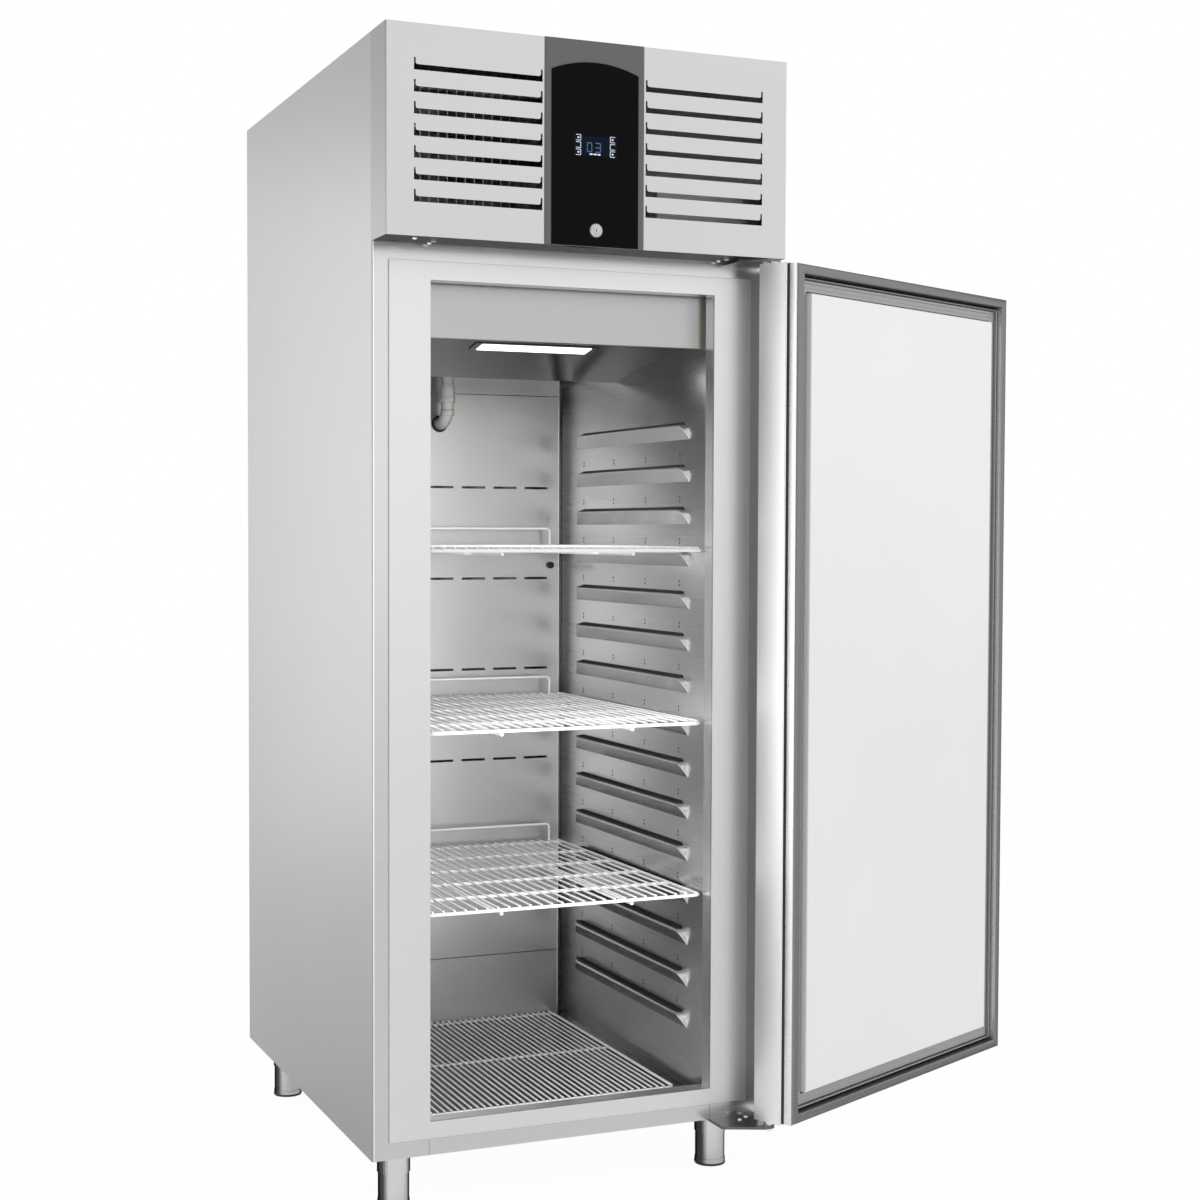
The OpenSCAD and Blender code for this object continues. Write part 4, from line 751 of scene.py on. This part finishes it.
# ---------- key lock: its rings and key slit turn with it; its collar stays on the panel
LOCK_RINGS = [(0.0098, 0.0), (0.0092, 0.0006), (0.0074, 0.0009), (0.0068, 0.0004),
              (0.0050, 0.0004), (0.0046, 0.0012), (0.0036, 0.0014)]
LOCK_COLLAR = [(0.0124, 0.0), (0.0128, 0.0008), (0.0122, 0.0016), (0.0113, 0.0018),
               (0.0111, 0.0002)]
KEY_SLIT = [(-0.0007, -0.0030), (0.0007, -0.0030), (0.0009, -0.0005), (0.0009, 0.0030),
            (-0.0004, 0.0030)]
lo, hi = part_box("lock_cylinder")
x, y, z = (lo.x + hi.x) / 2, lo.y, (lo.z + hi.z) / 2
bm = bmesh.new()
lathe(bm, LOCK_RINGS, facing((x, y, z), "-y"), 40)
shade_by_angle(piece("lock_rings", bm, "lock", "lock"), 35)
# The key slit is a thin dark prism on the lock's face: painted shade of the slit
bm = bmesh.new()
slit_y = y - LOCK_RINGS[-1][1]
prism(bm, [(x + a, z + b) for a, b in KEY_SLIT], 1, slit_y - 0.0002, slit_y + 0.0002)
piece("lock_key_slit", bm, "joint_and_painted_shade", "lock", smooth=False)
bm = bmesh.new()
lathe(bm, LOCK_COLLAR, facing((x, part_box("control_glass")[0].y, z), "-y"), 40)
shade_by_angle(piece("lock_collar", bm, "black_paint", "cabinet"), 35)

# ---------- the drain's two collars, and the dark ring where it meets the panel
DRAIN_X, DRAIN_Y, DRAIN_MOUTH = -0.005, 0.221, 1.3915
DRAIN_RING = [(0.0170, 0.0), (0.0174, 0.0008), (0.0164, 0.0020), (0.0142, 0.0024),
              (0.0130, 0.0010)]
bm = bmesh.new()
for z, r in ((1.4385, 0.0162), (1.4120, 0.0138)):
    lathe(bm, [(r - 0.001, -0.006), (r, -0.005), (r, 0.005), (r - 0.001, 0.006)],
          (DRAIN_X, DRAIN_Y, z), 32)
piece("drain_collars", bm, "drain", "cabinet")
bm = bmesh.new()
lathe(bm, DRAIN_RING, facing((DRAIN_X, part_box("duct_panel")[0].y, DRAIN_MOUTH), "-y"), 36)
piece("drain_ring", bm, "rubber", "cabinet")

# ---------- the door, drawn closed and turned open about the hinge pins
SWING = 205
OPEN = (Matrix.Translation((*HINGE, 0)) @ Matrix.Rotation(math.radians(SWING), 4, "Z")
        @ Matrix.Translation((-HINGE[0], -HINGE[1], 0)))
DOOR_HALF, DOOR_LOW, DOOR_TOP, DOOR_FACE = 0.367, 0.113, 1.643, -0.5183
INNER_FACE_MM = 60

# Sections in mm: distance in from the door's side, depth from its outer face
SHELL = arc(3.5, 3.5, 3.5, 270, 180) + [(0, 56.5)] + arc(3.0, 57.0, 3.0, 180, 90)[1:]
SHELL += [(6.6, 60.0), (7.0, 59.7), (7.0, 59.0), (1.2, 59.0), (1.0, 1.0)]
PAN_INSIDE = [(53, 49.5), (53, 75.5)] + arc(54.4, 75.6, 1.4, 180, 90)[1:]
PAN_OUTSIDE = [(52, 49.5), (52, 75.6)] + arc(54.4, 75.6, 2.4, 180, 90)[1:]
# The gasket's sections: distance in from the door's side, height over its inner face
GASKET_WEB = [(22.1, 0), (22.3, 2.6), (23, 1.2), (24.4, 1.2), (25, 2.6), (25.3, 11.5),
              (25.9, 13.4), (26.8, 14), (27.8, 13.4), (28.3, 11.4), (28.5, 4.5), (29.9, 4.5),
              (30.4, 8.6), (34, 7.9), (35, 8.4), (36, 7.9), (41, 7.4), (42, 7.9), (43, 7.4),
              (47.2, 7.9), (48.6, 7.6), (49, 6.6), (49, 0)]
GASKET_BULB = [(4.2, 0.1), (3.6, 2), (3.2, 8), (3.2, 15), (3.8, 20), (5.2, 22.8), (7.6, 24.3),
               (11.0, 25), (15.0, 25), (18.6, 24.6), (20.9, 23.2), (21.8, 20.6), (22, 17),
               (22, 8), (22, 0.1)]
GASKET_ROOT = [(2.9, 0.1), (2.9, 4.4), (4.6, 4.6), (4.6, 0.1)]


def door_rim(name, section, key, replaced=None, closed=False):
    """A section run round the door with mitred corners."""
    bm = bmesh.new()
    loops = []
    for w, t in section:
        w, y = w / 1000, DOOR_FACE + t / 1000
        x = DOOR_HALF - w
        corners = ((-x, y, DOOR_LOW + w), (x, y, DOOR_LOW + w), (x, y, DOOR_TOP - w),
                   (-x, y, DOOR_TOP - w))
        loops.append([bm.verts.new(OPEN @ Vector(c)) for c in corners])
    pairs = list(zip(loops, loops[1:])) + ([(loops[-1], loops[0])] if closed else [])
    for a, b in pairs:
        for i in range(4):
            bm.faces.new((a[i], a[(i + 1) % 4], b[(i + 1) % 4], b[i]))
    if not closed:
        bm.faces.new(loops[0])
        bm.faces.new(list(reversed(loops[-1])))
    bmesh.ops.recalc_face_normals(bm, faces=bm.faces)
    o = piece(name, bm, key, "door")
    shade_by_angle(o, 35)
    if replaced:
        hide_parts(replaced)


def on_door(section):
    """A gasket's section as depths from the door's outer face."""
    return [(w, INNER_FACE_MM + h) for w, h in section]


door_rim("door_shell", SHELL, "door_skin", "door_skin")
door_rim("door_gasket_profile", on_door(GASKET_WEB), "gasket", "door_gasket",
         closed=True)
door_rim("door_gasket_bulb", on_door(GASKET_BULB), "bulb", closed=True)
door_rim("door_gasket_root", on_door(GASKET_ROOT), "rubber", closed=True)
door_rim("door_pan", list(reversed(PAN_INSIDE)) + PAN_OUTSIDE, "door_panel",
         "door_inner_panel")

# Folds along the two upright inner edges of the shell, made bright by a painted highlight
bm = bmesh.new()
for side in SIDES:
    x, y = side * (DOOR_HALF - 0.0012), DOOR_FACE + 0.0590
    path(bm, [OPEN @ Vector((x, y, z)) for z in (DOOR_LOW + 0.002, DOOR_TOP - 0.002)])
piece("door_folds", grown("door_folds", bm, RODS, "fold", Rod=0.0013, Bend=0.0), "fold", "door")

# ---------- dark soles of the four feet
SOLE = [(0.0255, 0.0002), (0.0275, 0.0003), (0.0288, 0.0012), (0.0290, 0.0025),
        (0.0288, 0.0042), (0.0281, 0.0046)]
for tag in ("front_left", "front_right", "back_left", "back_right"):
    lo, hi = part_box("foot_" + tag)
    bm = bmesh.new()
    lathe(bm, SOLE, ((lo.x + hi.x) / 2, (lo.y + hi.y) / 2, 0))
    piece("sole_" + tag, bm, "rubber", "foot_" + tag)

# ---------- digits and marks on the display
lo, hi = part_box("display_window")
cx, cz, WINDOW = (lo.x + hi.x) / 2, (lo.z + hi.z) / 2, lo.y
DIGIT_WIDE, DIGIT_HIGH, DIGIT_HALF_LINE = 0.0080, 0.0150, 0.0009
DIGIT_LEFT, DIGIT_STEP, DIGIT_DROP = 0.0150, 0.0160, 0.002
BARS = {"A": (0, 1, 1, 1), "B": (1, 0.5, 1, 1), "C": (1, 0, 1, 0.5), "D": (0, 0, 1, 0),
        "E": (0, 0, 0, 0.5), "F": (0, 0.5, 0, 1), "G": (0, 0.5, 1, 0.5)}
SHOWN = ("ABCDEF", "ABGCD")  # a nought and a three
KEY_X, KEY_STEP, KEY_WIDE, KEY_HIGH, KEY_LINE = 0.0315, 0.0122, 0.0042, 0.0046, 0.00045


def mark(bm, x0, x1, z0, z1, bevel=0.0):
    """A thin raised bar on the window."""
    block(bm, (x0, WINDOW - 0.0006, z0), (x1, WINDOW - 0.0001, z1), bevel)


bm = bmesh.new()
for k, bars in enumerate(SHOWN):
    x, z = cx - DIGIT_LEFT + k * DIGIT_STEP, cz - DIGIT_HIGH / 2 - DIGIT_DROP
    for bar in bars:
        a, b, c, d = BARS[bar]
        mark(bm, x + DIGIT_WIDE * a - DIGIT_HALF_LINE, x + DIGIT_WIDE * c + DIGIT_HALF_LINE,
             z + DIGIT_HIGH * b - DIGIT_HALF_LINE, z + DIGIT_HIGH * d + DIGIT_HALF_LINE)
piece("display_digits", bm, "digit", "cabinet", smooth=False)

# Outlines of the touch keys beside the window, and three short bars under the number
bm = bmesh.new()
for side in SIDES:
    inner = -side * KEY_WIDE
    for i in (-1, 0, 1):
        x, z = cx + side * KEY_X, cz + 0.001 + i * KEY_STEP
        for a, b, c, d in ((-KEY_WIDE, KEY_WIDE, KEY_HIGH, KEY_HIGH),
                           (-KEY_WIDE, KEY_WIDE, -KEY_HIGH, -KEY_HIGH),
                           (inner, inner, -KEY_HIGH, KEY_HIGH)):
            mark(bm, x + a - KEY_LINE, x + b + KEY_LINE, z + c - KEY_LINE, z + d + KEY_LINE,
                 0.0002)
        if i:
            mark(bm, x - 0.0016, x + 0.0016, z - 0.0013, z + 0.0013, 0.0003)
for k in range(3):
    x = cx - 0.0080 + k * 0.0072
    mark(bm, x - 0.0028, x + 0.0028, cz - 0.0145, cz - 0.0122, 0.0003)
piece("display_marks", bm, "mark", "cabinet", smooth=False)


# ---------- world, floor and lights
def shown_ray(tree, camera, glossy):
    """How much of the plain white background a ray sees: the camera's own, and what metal and
    glass mirror."""
    ray = node(tree, "ShaderNodeLightPath").outputs
    mirror = combined(tree, "MAXIMUM", ray["Is Glossy Ray"], ray["Is Transmission Ray"])
    part = combined(tree, "MULTIPLY", mirror, glossy)
    full = combined(tree, "MULTIPLY", ray["Is Camera Ray"], camera)
    return combined(tree, "MAXIMUM", part, full)


world = bpy.data.worlds.new("studio")
scene.world = world
world.use_nodes = True
wt = world.node_tree
background = wt.nodes["Background"]
background.inputs["Color"].default_value = (1, 1, 1, 1)

# The studio round the object, with the strength toward and against each axis: bright on the
# right, in front, beyond and above, dark on the left and below
AROUND = {"X": (1.3, 0.05), "Y": (1.0, 1.28), "Z": (0.95, 0.10)}
axes = node(wt, "ShaderNodeSeparateXYZ", [(node(wt, "ShaderNodeTexCoord").outputs["Generated"], 0)])
total = None
for axis, (along, against) in AROUND.items():
    for sign, strength in ((1, along), (-1, against)):
        toward = combined(wt, "MULTIPLY", axes.outputs[axis], sign)
        toward = combined(wt, "MAXIMUM", toward, 0)
        square = combined(wt, "MULTIPLY", toward, toward)
        part = combined(wt, "MULTIPLY", square, strength)
        total = combined(wt, "ADD", total, part) if total else part
        if axis == "Y" and sign == 1:
            backdrop = square
# The camera sees it plain white; metal and glass mirror that white where it stands behind the
# object
mirrored = combined(wt, "MULTIPLY", shown_ray(wt, 0.0, 1.0), backdrop)
shown = combined(wt, "MAXIMUM", mirrored, shown_ray(wt, 1.0, 0.0))
level = node(wt, "ShaderNodeMix", [(shown, 0), (total, 2)], data_type="FLOAT", i_3=1.0)
wt.links.new(level.outputs[0], background.inputs["Strength"])

# A pale floor that glows for the camera and keeps the object's shadow
FLOOR_GLOW, FLOOR_MIRRORED = 0.97, 0.30
floor_material, ft, floor_shader = new_material("pale_floor")
floor_shader.inputs["Base Color"].default_value = (0.90, 0.90, 0.90, 1)
floor_shader.inputs["Roughness"].default_value = 0.85
floor_shader.inputs["Specular IOR Level"].default_value = 0.1
glow = node(ft, "ShaderNodeEmission", i_Strength=1.0, i_Color=(1, 1, 1, 1))
mixed = node(ft, "ShaderNodeMixShader", [(shown_ray(ft, FLOOR_GLOW, FLOOR_MIRRORED), 0),
                                         (floor_shader.outputs[0], 1), (glow.outputs[0], 2)])
ft.links.new(mixed.outputs[0], ft.nodes["Material Output"].inputs["Surface"])
bm = bmesh.new()
bmesh.ops.create_grid(bm, x_segments=8, y_segments=8, size=14)
floor_mesh = bpy.data.meshes.new("floor")
bm.to_mesh(floor_mesh)
bm.free()
floor_mesh.materials.append(floor_material)
floor = bpy.data.objects.new("floor", floor_mesh)
scene.collection.objects.link(floor)


def area(name, place, target, wide, high, power, mirrors=True):
    """A soft rectangular light aimed at a point, hidden from the camera."""
    lamp = bpy.data.lights.new(name, "AREA")
    lamp.shape = "RECTANGLE"
    lamp.size, lamp.size_y = wide, high
    lamp.energy = power
    o = bpy.data.objects.new(name, lamp)
    o.location = place
    o.rotation_euler = (Vector(target) - Vector(place)).to_track_quat("-Z", "Y").to_euler()
    o.visible_camera = False
    o.visible_glossy = mirrors
    scene.collection.objects.link(o)


area("side_box", (-3.8, -0.1, 1.3), (-0.37, -0.2, 1.1), 3.0, 2.8, 52)
area("side_back_box", (-2.9, 3.1, 1.3), (-0.37, -0.2, 1.1), 3.0, 2.6, 34)
area("lamp_tube", (0, -0.17, 1.44), (0, -0.10, 0.6), 0.40, 0.30, 1.5, mirrors=False)
area("shelf_fill", (0, -0.415, 0.80), (0, 0.3, 0.45), 0.5, 1.15, 2.4, mirrors=False)
